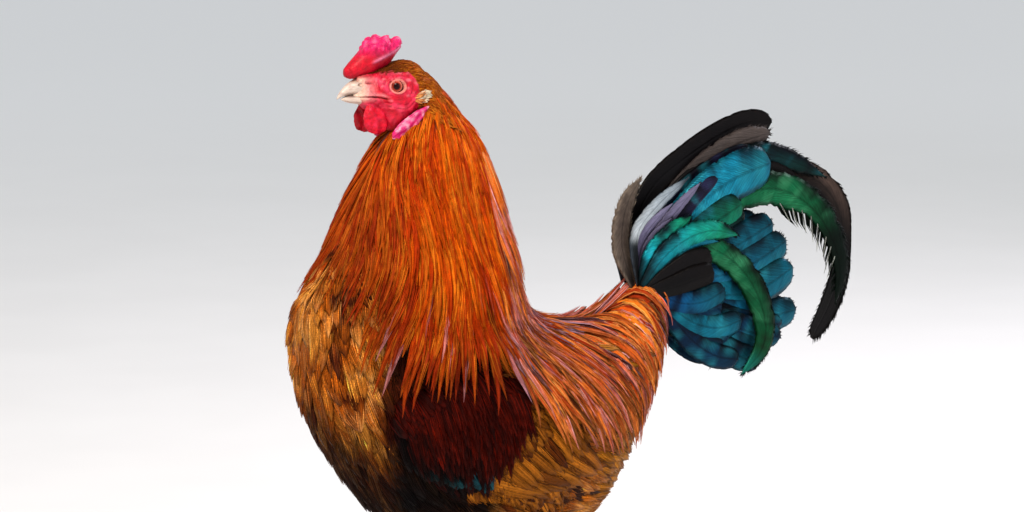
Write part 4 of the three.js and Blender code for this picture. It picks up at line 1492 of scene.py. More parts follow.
@dataclass
class Skin:
    """The one skin of trunk, neck, thighs and head. Depths are how far it lies inside the solids, in mm."""

    forms: Forms
    body_depth: float = 6.0
    neck_depth: float = 1.0
    leg_depth: float = 1.5
    voxel: float = 0.0045
    piece: Object = field(init=False)
    tree: BVHTree = field(init=False)

    def flesh(self) -> Shape:
        """Makes trunk, neck and thighs as closed tubes, before they are made one.

        Returns:
            Their surfaces.
        """
        whole = bmesh.new()
        a = turns(72)[None, :]
        for form, count in ((TORSO, 60), (NECK, 50)):
            t = mix(form.rows[0][0], form.rows[-1][0], np.linspace(0, 1, count))[:, None]
            gather(whole, wrapped(form.point(t, a, -2)))
        a = turns(32)[None, :, None]
        t = np.linspace(0, 1, 16)[:, None, None]
        radius = thigh_radius(t) * np.sin(np.clip(t * 9, 0, math.pi / 2))
        rings = HIP + t * (HOCK - HIP) + np.concatenate([np.cos(a), np.sin(a), 0 * a], -1) * radius
        for side in Side:
            gather(whole, wrapped(rings * np.array([side.value, 1, 1])))
        bmesh.ops.recalc_face_normals(whole, faces=whole.faces)
        return whole

    def build(self, material: Material) -> Object:
        """Makes the skin and its unwrap.

        Args:
            material: the skin's material.

        Returns:
            Its piece.
        """
        draft = meshed("flesh", self.flesh())
        modifier = draft.modifiers.new("one", "REMESH")
        modifier.mode, modifier.voxel_size = "VOXEL", self.voxel
        bm = bmesh.new()
        bm.from_object(draft, bpy.context.evaluated_depsgraph_get())
        bpy.data.objects.remove(draft)
        places = np.array([vert.co for vert in bm.verts]) * 1000 - SHIFT
        depth = mix(self.body_depth, self.neck_depth, smooth(470, 540, places[:, 2]))
        leg = (np.abs(places[:, 0]) > 20) & (places[:, 2] < 190)
        depth = np.where(leg, mix(self.leg_depth, depth, smooth(120, 190, places[:, 2])), depth)
        for vert, place in zip(bm.verts, metres(self.forms.flesh.settle(places, -depth, 8))):
            vert.co = place
        gather(bm, wrapped(Head.SHELL.surface(Head.outside)))
        bmesh.ops.recalc_face_normals(bm, faces=bm.faces)
        nodes = ("torso", "neck", "head", "thigh_left", "thigh_right")
        self.piece = solid("skin", bm, self.tint, material, "skin", *nodes)
        self.unwrap()
        flat = bmesh.new()
        flat.from_mesh(self.piece.data)
        self.tree = BVHTree.FromBMesh(flat)
        flat.free()
        return self.piece

    def unwrap(self) -> None:
        """Unwraps the skin on the map that roots are placed on."""
        for other in bpy.context.selected_objects:
            other.select_set(False)
        self.piece.data.uv_layers.new(name="OFBake")
        bpy.context.view_layer.objects.active = self.piece
        self.piece.select_set(True)
        bpy.ops.object.mode_set(mode="EDIT")
        bpy.ops.mesh.select_all(action="SELECT")
        bpy.ops.uv.smart_project(angle_limit=math.radians(66), island_margin=0.002)
        bpy.ops.object.mode_set(mode="OBJECT")
        self.piece.select_set(False)

    def roots(self, p: Array) -> Array:
        """Finds the places on the skin's unwrap nearest to points.

        Args:
            p: the points.

        Returns:
            Their places on the map.
        """
        mesh = self.piece.data
        maps = mesh.uv_layers["OFBake"].data
        found = np.zeros((len(p), 2))
        for i, point in enumerate(metres(p)):
            spot, _, index, _ = self.tree.find_nearest(Vector(point))
            face = mesh.polygons[index]
            shares = poly_3d_calc([mesh.vertices[v].co for v in face.vertices], spot)
            for loop, share in zip(face.loop_indices, shares):
                found[i] += np.array(maps[loop].uv) * share
        return found

    @staticmethod
    def tint(p: Array) -> Array:
        """Gives the skin's colours: red face, and below it the plumage's ground colours, darkened as painted
        shade.

        Args:
            p: points of the skin.

        Returns:
            Linear colours.
        """
        y, z = p[:, 1], p[:, 2]
        ground = layered(
            colour("b0661a"),
            ("6b2408", 0.25 + 0.5 * smooth(-0.6, 0.8, waves(p, 60, 41, 6))),
            ("3a1a0c", 0.6 * smooth(250, 180, z)),
            ("7c2a12", smooth(-20, 20, y) * smooth(330, 360, z)),
            ("b84e0c", smooth(395, 450, z)),
        )
        # Painted shade: the ground is darkened under the feathers, most at the nape.
        shaded = ground * mix(0.6, 0.3, smooth(540, 570, z))[:, None]
        return layered(shaded, (Head.tint(p), smooth(-62, -70, y) * smooth(553, 560, z)))


# ------------------------------------------------------------ feather coats


@dataclass(frozen=True)
class Barbs:
    """The fine strands over a feather's vane: how many, how wide in mm, their rings, and how they vary."""

    count: int = 4
    width: float = 1.3
    rings: int = 4
    splay: float = 0.8
    bright: float = 0.05
    vary: float = 0.22


@dataclass
class Coat:
    """What every coat shares: forms, skin, seeded numbers, and how its two pieces are made."""

    forms: Forms
    skin: Skin
    seed: int

    def __post_init__(self) -> None:
        """Starts the seeded numbers and the gathered feathers."""
        self.rng = np.random.default_rng(self.seed)
        self.start()

    def start(self) -> None:
        """Starts with no feathers."""
        self.vanes, self.strands = Mesher(), Mesher()

    def spread(self, low: float, high: float, n: int) -> Array:
        """Seeded numbers between low and high."""
        return self.rng.uniform(low, high, n)

    def choose(self, first: str, second: str, share: Array) -> Array:
        """Picks one colour or the other for each feather, at a share of the second."""
        return np.where((self.rng.random(len(share)) < share)[:, None], colour(second), colour(first))

    def dyed(self, base: Array, gloss: float, spread: float = 0.16) -> Array:
        """Gives feathers' colours a gloss column and a little difference between feathers."""
        shade = np.clip(base * np.exp(self.rng.normal(0, spread, (len(base), 1, 1))), 0, 1)
        return np.concatenate([shade, np.full((*base.shape[:2], 1), gloss)], -1)

    def plumes(self, laid: Laid, dyes: Dyes, root: Array, barbs: Barbs) -> None:
        """Adds feathers' vanes and the fine strands over them.

        Args:
            laid: the feathers as laid.
            dyes: their inner and outer colours, by ring.
            root: where they root.
            barbs: how many strands, how wide, and how splayed.
        """
        n = len(root)
        spots = self.skin.roots(root)
        self.vanes.add(laid.vanes(), ROOF, dyes, spots)
        pick = np.linspace(0, dyes[0].shape[1] - 1, barbs.rings).round().astype(int)
        inner, outer = (dye[:, pick] for dye in dyes)
        for k in range(barbs.count):
            place = 0.9 * (2 * k / (barbs.count - 1) - 1)
            rings = laid.strands(place, barbs, self.rng)
            share = np.clip(self.rng.normal(abs(place) * 0.6 + 0.15, 0.3, (n, 1, 1)), 0, 1)
            shade = mix(inner, outer, share)
            bright = np.exp(self.rng.normal(barbs.bright, barbs.vary, (n, 1, 1)))
            shade = np.concatenate([np.clip(shade[..., :3] * bright, 0, 1), shade[..., 3:]], -1)
            self.strands.add(rings, np.full(3, 0.5 + 0.4 * place), (shade, shade), spots)

    def made(self, names: tuple[str, str], material: Material, slot: str, *nodes: str) -> list[Object]:
        """Makes the two pieces of all that was added, and starts again.

        Args:
            names: the names of vanes and strands.
            material: their material.
            slot: not used.
            nodes: the solids that they stand for.

        Returns:
            The pieces.
        """
        pieces = [mesher.build(name) for mesher, name in zip((self.vanes, self.strands), names)]
        self.start()
        return [dress(piece, material, slot, *nodes) for piece in pieces]


def cape_hem(p: Array) -> Array:
    """How low the cape's feathers root: higher in front, where the breast's feathers start."""
    return 405 + 92 * smooth(-92, -150, p[:, 1])


@dataclass
class Hackle(Coat):
    """The cape of long lance feathers from the crown over the shoulders."""

    tries: int = 60000
    split: float = 505

    @staticmethod
    def flow(p: Array, t: float) -> Array:
        """The cape's lie: down the neck, fanning to the rear over the shoulders.

        Args:
            p: points.
            t: the share of a feather's length.

        Returns:
            The way at each point.
        """
        x, y, z = np.moveaxis(p, -1, 0)
        low = np.clip((500 - z) / 90, 0, 1)
        head = smooth(575, 600, z)
        sway = 0.04 + 0.1 * np.sin(z * 0.035 + y * 0.03)
        back = sway + 0.62 * low * np.clip((y + 52) / 72, -0.9, 1)
        return np.stack([0.1 * np.sign(x) + 0.0022 * x, back + 1.1 * head, -1 + 0.5 * head], -1)

    @staticmethod
    def keep(p: Array) -> Array:
        """Which points lie in the cape."""
        face = (p[:, 1] < -76) & (p[:, 2] > 556)
        return (p[:, 2] > cape_hem(p)) & (p[:, 2] < 600) & ~face & (p[:, 1] < 60)

    @staticmethod
    def gaps(p: Array) -> Array:
        """The gap between feathers at points."""
        return mix(3.5, 1.9, smooth(450, 590, p[:, 2]))

    def build(self, material: Material) -> None:
        """Lays the cape.

        Args:
            material: its material.
        """
        roots = scatter(self.forms.flesh, self.keep, self.gaps, self.tries, self.seed, (1, 1, 0.42))
        n = len(roots)
        z = roots[:, 2]
        front = np.clip(-(roots[:, 1] + 84) / 60, 0, 1)
        length = np.interp(z, (405, 450, 500, 540, 570, 592), (100, 110, 110, 92, 64, 34))
        length = length * self.spread(0.78, 1.06, n)
        length *= np.where(z < 448, self.spread(0.62, 1.03, n), 1.0) * (1 - 0.42 * front**2)
        width = np.interp(z, (405, 470, 540, 592), (7.6, 6.6, 5.0, 2.6)) * self.spread(0.8, 1.15, n)
        lift = np.interp(z, (405, 500, 560, 592), (7.4, 6.0, 3.6, 2.0)) * self.spread(0.45, 1.15, n)
        lift *= 1 - 0.4 * front
        halves = (("upper", z > self.split, LEAF, 4), ("lower", z <= self.split, LANCE, 5))
        for name, part, cut, count in halves:
            batch = Batch(cut, roots[part], length[part], width[part], 2.2, lift[part])
            laid = batch.lay(self.forms.covered, self.flow, self.rng, 0.06, 0.12)
            self.plumes(laid, self.dye(laid.seat), roots[part], Barbs(count, 1.2, 5, 0.3, 0.0, 0.13))
            self.made((f"hackle_{name}_vanes", f"hackle_{name}_strands"), material, "hackle", "neck")

    def dye(self, p: Array) -> Dyes:
        """Gives gold-orange with long streaks of mahogany, redder and darker towards the lower edge.

        Args:
            p: the feathers' seats, by ring.

        Returns:
            Inner and outer colours.
        """
        n = len(p)
        x, y, z = np.moveaxis(p, -1, 0)
        turn = np.arctan2(x, -(y + 64))
        lane = np.stack([np.cos(turn) * 60, np.sin(turn) * 60, 0.1 * z], -1)
        streak = sum(much * waves(lane, *size) for much, size in zip((0.26, 0.3, 0.2), self.sizes()))
        streak *= 1 + 0.5 * smooth(440, 380, z)
        share = np.clip(0.36 + streak + self.rng.normal(0, 0.12, (n, 1)), 0, 1)
        dark = smooth(392, 345, z) * smooth(-150, -90, y)
        crown, front = smooth(560, 592, z), smooth(-95, -135, y)
        base = layered(
            colour("ee6802"),
            ("c83a00", smooth(0, 0.42, share)),
            ("561402", smooth(0.45, 0.95, share)),
            ("b43404", 0.35 * smooth(440, 360, z)),
            ("5a1002", self.spread(0.35, 1, n)[:, None] * dark),
            ("b25210", 0.7 * crown),
            # Darker at the front of the neck: painted shade where the cape opens.
            ("7a2606", 0.5 * front),
            ("9a3006", 0.4 * (smooth(-20, 20, y) * smooth(540, 420, z))),
        )
        edge = self.choose("ee861c", "b43402", np.full(n, 0.5))[:, None] + 0 * base
        # The rims darken as well: at the front as painted shade, and towards the lower edge and the crown.
        edge = layered(edge, ("8a2a06", 0.6 * np.maximum(np.maximum(front, dark), crown)))
        # Painted reflection of the sky: lilac glints on a few strands, most of them at the rear corner.
        corner = smooth(-30, 0, y) * smooth(425, 400, z)
        painted_glint = (self.rng.random((n, 1)) < 0.08 + 0.3 * corner) * smooth(425, 385, z)
        painted_lilac_sheen = mix(colour("e0a0a4"), colour("b49cb8"), corner[..., None])
        base = layered(base, (painted_lilac_sheen, (0.2 + 0.4 * corner) * painted_glint))
        edge = layered(edge, (painted_lilac_sheen, 0.85 * painted_glint))
        base = layered(base, ("1c1226", 0.8 * ((self.rng.random((n, 1)) < 0.2) * corner)))
        return self.dyed(base, 0.06, 0.1), self.dyed(edge, 0.08, 0.12)

    def sizes(self) -> tuple[tuple[float, int, int], ...]:
        """Width, seed and layers of the streaks' waves."""
        return (6, self.seed + 1, 9), (17, self.seed + 7, 7), (44, self.seed + 8, 5)


def flank_edge(z: Array) -> Array:
    """Where, along y, the golden breast ends and the dark flank starts."""
    return np.interp(z, (234, 265, 294, 312, 344, 366, 391), (-110, -123, -134, -139, -140, -136, -128))


@dataclass
class Trunk(Coat):
    """Breast, flanks, belly, fluff and thighs: short rounded feathers like shingles."""

    tries: int = 90000

    @staticmethod
    def flow(p: Array, t: float) -> Array:
        """The lie: down the breast, to the rear along flanks and belly, down the thighs.

        Args:
            p: points.
            t: the share of a feather's length.

        Returns:
            The way at each point.
        """
        x, y, z = np.moveaxis(p, -1, 0)
        rear = smooth(-160, 10, y)
        leg = smooth(190, 160, z) * smooth(22, 34, np.abs(x)) * (np.abs(y + 6) < 50)
        under = smooth(235, 175, z) * (1 - leg)
        out = 0.25 * np.sign(x) * (1 - rear) * (np.abs(x) > 6)
        back = mix(0.12 + 1.1 * rear + 0.9 * under, 0.15, leg)
        return np.stack([out, back, mix(-1 + 0.35 * rear + 0.85 * under, -1.0, leg)], -1)

    @staticmethod
    def keep(p: Array) -> Array:
        """Finds which points bear the coat: not under cape, saddle and wing, and not the torso's hind tip.

        Args:
            p: the points.

        Returns:
            True where they do.
        """
        under = mix(-44, -6, smooth(-105, -152, p[:, 1]))
        hidden = (p[:, 2] > cape_hem(p) + under) | ((p[:, 1] > 25) & (p[:, 2] > 372 - 0.2 * (p[:, 1] - 25)))
        u, _, r = WING.place(p)
        wing = (r < 0.86) & (np.abs(p[:, 0]) > 50) & (u < 30)
        tip = np.hypot(p[:, 1] - 186, p[:, 2] - 390) < 20
        return ~hidden & ~wing & ~tip & (p[:, 2] > 117)

    @staticmethod
    def gaps(p: Array) -> Array:
        """The gap between feathers at points."""
        return mix(mix(7.6, 6.6, smooth(0, 60, p[:, 1])), 4.2, smooth(170, 130, p[:, 2]))

    def build(self, material: Material) -> None:
        """Lays the coat.

        Args:
            material: its material.
        """
        roots = scatter(self.forms.flesh, self.keep, self.gaps, self.tries, self.seed)
        rear = (roots[:, 1] > 15) | (roots[:, 2] < 188)
        broad, fine = Barbs(7, 1.7, 4, 0.75, 0.1, 0.3), Barbs(5, 1.3, 4, 0.8, 0.0, 0.3)
        for name, part, barbs in (("breast", ~rear, broad), ("rear", rear, fine)):
            p = roots[part]
            y = p[:, 1]
            leg = smooth(185, 125, p[:, 2])
            long = mix(np.interp(y, (-180, -60, 30, 120, 180), (42, 46, 46, 48, 42)), 20, leg)
            wide = mix(np.interp(y, (-180, -60, 60), (13.5, 15, 12)), 7.0, leg)
            high = mix(np.where(y > 15, 5.0, 3.4), 2.4, leg)
            ends = ((long, 0.8, 1.2), (wide, 0.8, 1.2), (high, 0.5, 1.3))
            length, width, lift = (size * self.spread(low, top, len(p)) for size, low, top in ends)
            batch = Batch(LEAF, p, length, width, 1.6, lift)
            laid = batch.lay(self.forms.flesh, self.flow, self.rng, 0.14, 0.1)
            self.plumes(laid, self.dye(laid.seat, p), p, barbs)
            self.made((f"{name}_vanes", f"{name}_strands"), material, "body")

    def dye(self, p: Array, roots: Array) -> Dyes:
        """Golden brown mottled with mahogany and painted light, near black low on the breast, golden fluff
        behind.

        Args:
            p: the feathers' seats, by ring.
            roots: their roots.

        Returns:
            Inner and outer colours.
        """
        n = len(p)
        x, y, z = np.moveaxis(p, -1, 0)
        drawn = p * np.array([1, 1, 0.45])
        # Swells over the tufts: partly the feathers' own mottle, partly painted highlight on the tufts and
        # painted shade between them.
        tuft = 0.4 * waves(drawn, 15, self.seed + 2, 7) + 0.35 * waves(drawn, 40, self.seed + 6, 5)
        patch = np.clip(0.42 + tuft + self.rng.normal(0, 0.16, (n, 1)), 0, 1)
        # Near black low on the front of the breast and on the underside: partly the feathers' own dark colour,
        # partly painted shade on the shadow side.
        bib_and_painted_shade = smooth(374, 300, z + 1.2 * np.abs(x) + 22 * tuft) * smooth(-80, -110, y)
        low = smooth(316, 216, z + 0.35 * (y + 120)) * smooth(60, 10, y)
        flank = smooth(-5, 7, y - flank_edge(z)) * smooth(-22, -42, y) * smooth(205, 225, z)
        flank = flank * smooth(34, 44, np.abs(x))
        side = mix(colour("020103"), colour("3c0c04"), smooth(272, 300, z)[..., None])
        gilt = self.choose("c07818", "7c4010", np.full(n, 0.4))[:, None]
        base = layered(
            colour("ee9838"),
            ("bc5c10", smooth(0, 0.5, patch)),
            ("4a1604", smooth(0.5, 0.95, patch)),
            ("2c0a04", 0.9 * bib_and_painted_shade),
            ("1a0904", 0.88 * low),
            (side, 0.97 * flank),
            (gilt, smooth(20, 80, roots[:, 1])[:, None]),
        )
        pale = (self.rng.random(n) < 0.45)[:, None] * (1 - 0.8 * np.maximum(low, bib_and_painted_shade)) * (1 - flank)
        rim = layered(base * 0.45, ("f2ac68", 0.6 * pale * (1 - patch)))
        return self.dyed(base, 0.0, 0.18), self.dyed(rim, 0.0, 0.18)


@dataclass
class Saddle(Coat):
    """The saddle: lance feathers that fall from the spine over the flanks and the wings' tips."""

    tries: int = 40000
    gap: float = 3.8

    @staticmethod
    def flow(p: Array, t: float) -> Array:
        """The lie: outwards over the back, then down and to the rear.

        Args:
            p: points.
            t: the share of a feather's length.

        Returns:
            The way at each point.
        """
        side = np.sign(p[..., 0])
        row = np.clip((p[..., 1] - 16) / 90, 0, 1)
        off = smooth(0, 20, np.abs(p[..., 0]))
        back = 0.5 + 0.25 * row + (1 - off) * 0.6
        return np.stack([side * off * (0.9 - 0.6 * t), back, -0.15 - 0.95 * t * off], -1)

    @staticmethod
    def from_spine(p: Array) -> Array:
        """The angle of points from the spine."""
        return np.abs(np.arctan2(p[:, 0], p[:, 2] - 300))

    @classmethod
    def keep(cls, p: Array) -> Array:
        """Which points lie in the saddle."""
        return (p[:, 1] > -18) & (p[:, 1] < 150) & (cls.from_spine(p) < 1.02) & (p[:, 2] > 332)

    def gaps(self, p: Array) -> Array:
        """The gap between feathers at points."""
        return np.full(len(p), self.gap)

    def build(self, material: Material) -> None:
        """Lays the saddle.

        Args:
            material: its material.
        """
        roots = scatter(self.forms.flesh, self.keep, self.gaps, self.tries, self.seed, (1, 0.55, 1))
        n = len(roots)
        length = np.interp(roots[:, 1], (-18, 40, 110, 150), (104, 118, 98, 66)) * self.spread(0.74, 1.06, n)
        length *= mix(1.0, 0.86, smooth(0.5, 0.95, self.from_spine(roots)))
        batch = Batch(LANCE, roots, length, self.spread(6.8, 10.4, n), 2.0, self.spread(4.2, 9.2, n))
        laid = batch.lay(self.forms.covered, self.flow, self.rng, 0.1, 0.14)
        self.plumes(laid, self.dye(laid.seat, roots), roots, Barbs(5, 1.5, 5, 0.3, 0.1, 0.2))
        self.made(("saddle_vanes", "saddle_strands"), material, "hackle", "saddle")

    def dye(self, p: Array, roots: Array) -> Dyes:
        """Orange-red to mahogany; some edges lilac-grey, a painted reflection of the sky.

        Args:
            p: the feathers' seats, by ring.
            roots: their roots.

        Returns:
            Inner and outer colours.
        """
        n = len(roots)
        drift = 0.38 + 0.3 * waves(roots, 22, self.seed + 3, 6)
        share = np.clip(drift + self.rng.normal(0, 0.34, n), 0, 1)[:, None]
        base = layered(
            colour("f4701a"),
            ("b8360a", smooth(0, 0.5, share)),
            ("3c0a04", smooth(0.52, 0.95, share)),
            ("c0681a", 0.4 * smooth(340, 280, p[..., 2])),
        )
        # Lilac-grey rims on a share of the feathers: painted reflection of the sky.
        rim = self.choose("f29a50", "e4a8ac", np.full(n, 0.3))[:, None] * (1 - 0.6 * share[..., None]) + 0 * p
        return self.dyed(base, 0.06, 0.2), self.dyed(rim, 0.06, 0.2)


class Row(Enum):
    """The kinds of rows in the wing."""

    QUILL = "flight quills"
    SECOND = "golden secondaries"
    BAR = "the black bar"
    BOW = "the dark bow of the shoulder"


@dataclass(frozen=True)
class Tier:
    """A tier of wing feathers, by wing coordinates of its first and last root."""

    count: int
    start: tuple[float, float]
    end: tuple[float, float]
    length: tuple[float, float]
    angle: tuple[float, float]
    width: float
    lift: float
    row: Row


@dataclass
class Wing(Coat):
    """A folded wing: primaries, golden secondaries, a black bar, and dark coverts up to the shoulder."""

    side: Side = Side.LEFT
    bows: int = 9
    under: int = 520

    def tiers(self) -> tuple[Tier, ...]:
        """Lists the rows of quills and coverts.

        Returns:
            The rows, the lowest first.
        """
        rows = [
            Tier(5, (10, -46), (44, -26), (96, 92), (0, 7), 11, 2.2, Row.QUILL),
            Tier(12, (-64, -36), (38, 20), (112, 86), (6, 20), 15, 4.2, Row.SECOND),
            Tier(9, (-22, -12), (40, 34), (64, 52), (24, 34), 13, 5.2, Row.SECOND),
            Tier(10, (-92, -26), (-26, -18), (46, 40), (36, 44), 14, 5.4, Row.BAR),
        ]
        for i in range(self.bows):
            t = i / (self.bows - 1)
            start, end = (-106 + 46 * t, -16 + 70 * t), (-20 + 20 * t, -6 + 60 * t)
            rows.append(Tier(round(28 - 8 * t), start, end, (44, 52), (58, 68), 7.4, 5.2 + 0.9 * t, Row.BOW))
        return tuple(rows)

    @staticmethod
    def ways(angle: Array) -> Array:
        """The ways of feathers that droop by angles from the wing's own line."""
        angle = WING.droop + np.radians(angle)
        return np.stack([0 * angle, np.cos(angle), -np.sin(angle)], -1)

    def build(self, material: Material) -> None:
        """Lays the wing.

        Args:
            material: its material.
        """
        self.plate()
        for tier in self.tiers():
            n = tier.count
            s = np.linspace(0, 1, n)
            jitter = self.rng.normal(0, 1.2, (2, n)) * (tier.row is not Row.SECOND)
            u, w = (mix(a, b, s) + j for a, b, j in zip(tier.start, tier.end, jitter))
            roots = WING.point(self.side, u, w)
            length = mix(*tier.length, s) * self.spread(0.95, 1.05, n)
            width = tier.width * self.spread(0.95, 1.1, n)
            cut = {Row.BAR: SCALE, Row.BOW: LEAF}.get(tier.row, BLUNT)
            batch = Batch(cut, roots, length, width, 1.4, tier.lift + 0.9 * (np.arange(n) % 2))
            laid = batch.lay(self.forms.winged, self.ways(mix(*tier.angle, s)), self.rng, 0.03, 0.06)
            barbs = Barbs(9, 1.2, 5, 0.9, 0.0, 0.12) if cut is BLUNT else Barbs(5, 1.3, 4, 0.6, 0.0, 0.25)
            self.plumes(laid, self.dye(laid.seat, tier.row), roots, barbs)
        word = self.side.word
        self.made((f"wing_vanes_{word}", f"wing_strands_{word}"), material, "wing", f"wing_{word}")

    def plate(self) -> None:
        """Small feathers all over the shoulder, under the rows, so that no gap shows."""
        a, r = self.spread(0, 2 * math.pi, self.under), np.sqrt(self.spread(0, 1, self.under)) * 0.98
        u, w = r * WING.long * np.cos(a), r * WING.high * np.sin(a)
        stay = u < 72
        u, w = u[stay], w[stay]
        n = len(u)
        roots, way = WING.point(self.side, u, w), self.ways(self.spread(34, 52, n))
        length, width, lift = (self.spread(*ends, n) for ends in ((20, 27), (9, 12), (2.4, 3.6)))
        batch = Batch(SCALE, roots, length, width, 1.2, lift)
        laid = batch.lay(self.forms.winged, way, self.rng, 0.1, 0.08)
        bow, gold = self.dye(laid.seat, Row.BOW), self.dye(laid.seat, Row.SECOND)
        behind = (u > -16 + 0.3 * w)[:, None, None]
        self.plumes(laid, tuple(np.where(behind, b, a) for a, b in zip(bow, gold)), roots, Barbs())

    def dye(self, p: Array, row: Row) -> Dyes:
        """Gives the colours of a row.

        Args:
            p: the feathers' seats, by ring.
            row: which kind of row.

        Returns:
            Inner and outer colours.
        """
        n = len(p)
        if row is Row.SECOND:
            base = mix(colour("d27c20"), colour("541f06"), self.rng.random((n, 1, 1)) ** 1.3) + 0 * p
            return self.dyed(base, 0.05, 0.12), self.dyed(mix(base * 0.3, colour("1e0c04"), 0.6), 0.05, 0.12)
        if row is Row.QUILL:
            base = colour("4a2412") + 0 * p
            return self.dyed(base, 0.05, 0.12), self.dyed(base * 0.5, 0.05, 0.12)
        if row is Row.BAR:
            # Painted sheen: a blue-green glint on the bar's rims, most at its rear end.
            painted_glint = smooth(-46, -28, WING.place(p)[0])
            sheen = mix(colour("2a6a78"), colour("0e3a38"), self.rng.random((n, 1, 1)))
            rim = layered(colour("04080a"), (sheen, 0.15 + 0.85 * painted_glint))
            return self.dyed(colour("060a0c") + 0 * p, 0.3, 0.2), self.dyed(rim, 0.35, 0.2)
        low = smooth(24, -24, WING.place(p[:, 0])[1])
        mottle = 0.3 + 0.65 * low + 0.25 * waves(p[:, 0], 22, self.seed + 4, 5)
        share = np.clip(mottle + self.rng.normal(0, 0.2, n), 0, 1)[:, None, None]
        base = mix(colour("3a0600"), colour("050101"), share) + 0 * p
        rim = mix(colour("661002"), colour("0c0202"), share) + 0 * p
        return self.dyed(base, 0.0, 0.3), self.dyed(rim, 0.0, 0.3)


class Tone(Enum):
    """The colourings of the tail's feathers: inner colour, outer colour, rim and gloss."""

    BROWN_BLACK = ("5c5048", "463a34", "988878", 0.05)
    BLACK = ("060405", "080507", "120c0a", 0.1)
    UNDER = ("0c0a0a", "5c524e", "3a3230", 0.05)
    # The silver feather's colours are a painted glossy highlight.
    SILVER = ("ccd6dc", "a8b6c2", "4a5662", 0.1)
    LILAC = ("241e34", "8c86a8", "2a2838", 0.2)
    VIOLET = ("16122e", "2c2c50", "06060c", 0.35)
    NIGHT = ("12566a", "0c3430", "06090a", 0.4)
    TEAL = ("0a687e", "1284a2", "04060a", 0.5)
    BRIGHT = ("10a0b4", "16a478", "04141a", 0.5)
    GREEN = ("0a7048", "0e5832", "020c06", 0.45)
    BLUE = ("0c5896", "127a96", "03070e", 0.5)
    MIDNIGHT = ("08203e", "0a3a5a", "020306", 0.45)
    SOOT = ("040304", "050304", "0a0706", 0.1)


SPANS = (-1, -0.72, 0, 0.72, 1, 0.72, 0, -0.72)
LIFTS = (0, 0.42, 0.62, 0.42, 0, -0.42, -0.5, -0.42)
SHOT = (Tone.TEAL, Tone.BRIGHT, Tone.VIOLET, Tone.BLUE, Tone.NIGHT, Tone.MIDNIGHT)
ROUND = ((0, 0.3), (0.24, 0.74), (0.6, 1), (0.86, 0.98), (0.94, 0.84), (0.98, 0.56), (1, 0.1))
SLIVER = ((0, 0.1), (0.42, 0.2), (0.62, 0.8), (0.8, 1), (0.92, 0.86), (0.98, 0.5), (1, 0.1))
BROAD = ((0, 0.2), (0.12, 0.54), (0.24, 0.84), (0.37, 1), (0.88, 1), (0.95, 0.84), (0.985, 0.6), (1, 0.2))
ARCHED = ((0, 0.26), (0.16, 0.66), (0.34, 0.94), (0.52, 1), (0.7, 0.9), (0.87, 0.6), (1, 0.02))
SICKLE = (
    (0, 0.2), (0.12, 0.54), (0.24, 0.84), (0.37, 1), (0.5, 1), (0.62, 0.98), (0.74, 0.9), (0.86, 0.68),
    (0.95, 0.36), (1, 0.02),
)


def runs(line: Array) -> Array:
    """The length along a line up to each of its points."""
    return np.concatenate([[0], np.cumsum(np.linalg.norm(np.diff(line, axis=0), axis=1))])


@dataclass(frozen=True)
class Quill:
    """A long tail feather: its sides, how far out it starts and ends, width, outline, tone and curve."""

    sides: tuple[int, ...]
    out: tuple[float, float]
    wide: float
    shape: Rows
    tone: Tone
    line: Rows
    tilt: float = 0.12
    loose: float = 0.0
    fine: int = 160

    def midline(self, side: int, count: int, until: float = 1.0) -> Array:
        """Finds evenly spaced points of its curve.

        Args:
            side: 1 for left, -1 for right.
            count: how many points.
            until: the share of its length where they end.

        Returns:
            The points.
        """
        last = len(self.line) - 1
        points = np.array([(side * mix(*self.out, i / last), y, z) for i, (y, z) in enumerate(self.line)])
        run = runs(points)
        curve = sample(np.concatenate([run[:, None], points], 1), np.linspace(0, run[-1], self.fine))
        true = runs(curve)
        return read(np.linspace(0, true[-1] * until, count), true, curve)

    def between(self, other: Quill, t: float, scale: float, wide: float, tone: Tone) -> Quill:
        """Makes a feather between this and another.

        Args:
            other: the other feather.
            t: the share of the way to it.
            scale: its length as a share of theirs.
            wide: its width.
            tone: its colours.

        Returns:
            The feather.
        """
        line = mix(self.midline(1, 7, scale), other.midline(1, 7, scale), t)
        shape = ARCHED if wide < 15 else ROUND
        return Quill(BOTH, (line[0, 0] - 1.5, line[-1, 0] - 1.5), wide, shape, tone, line[:, 1:], 0.2)


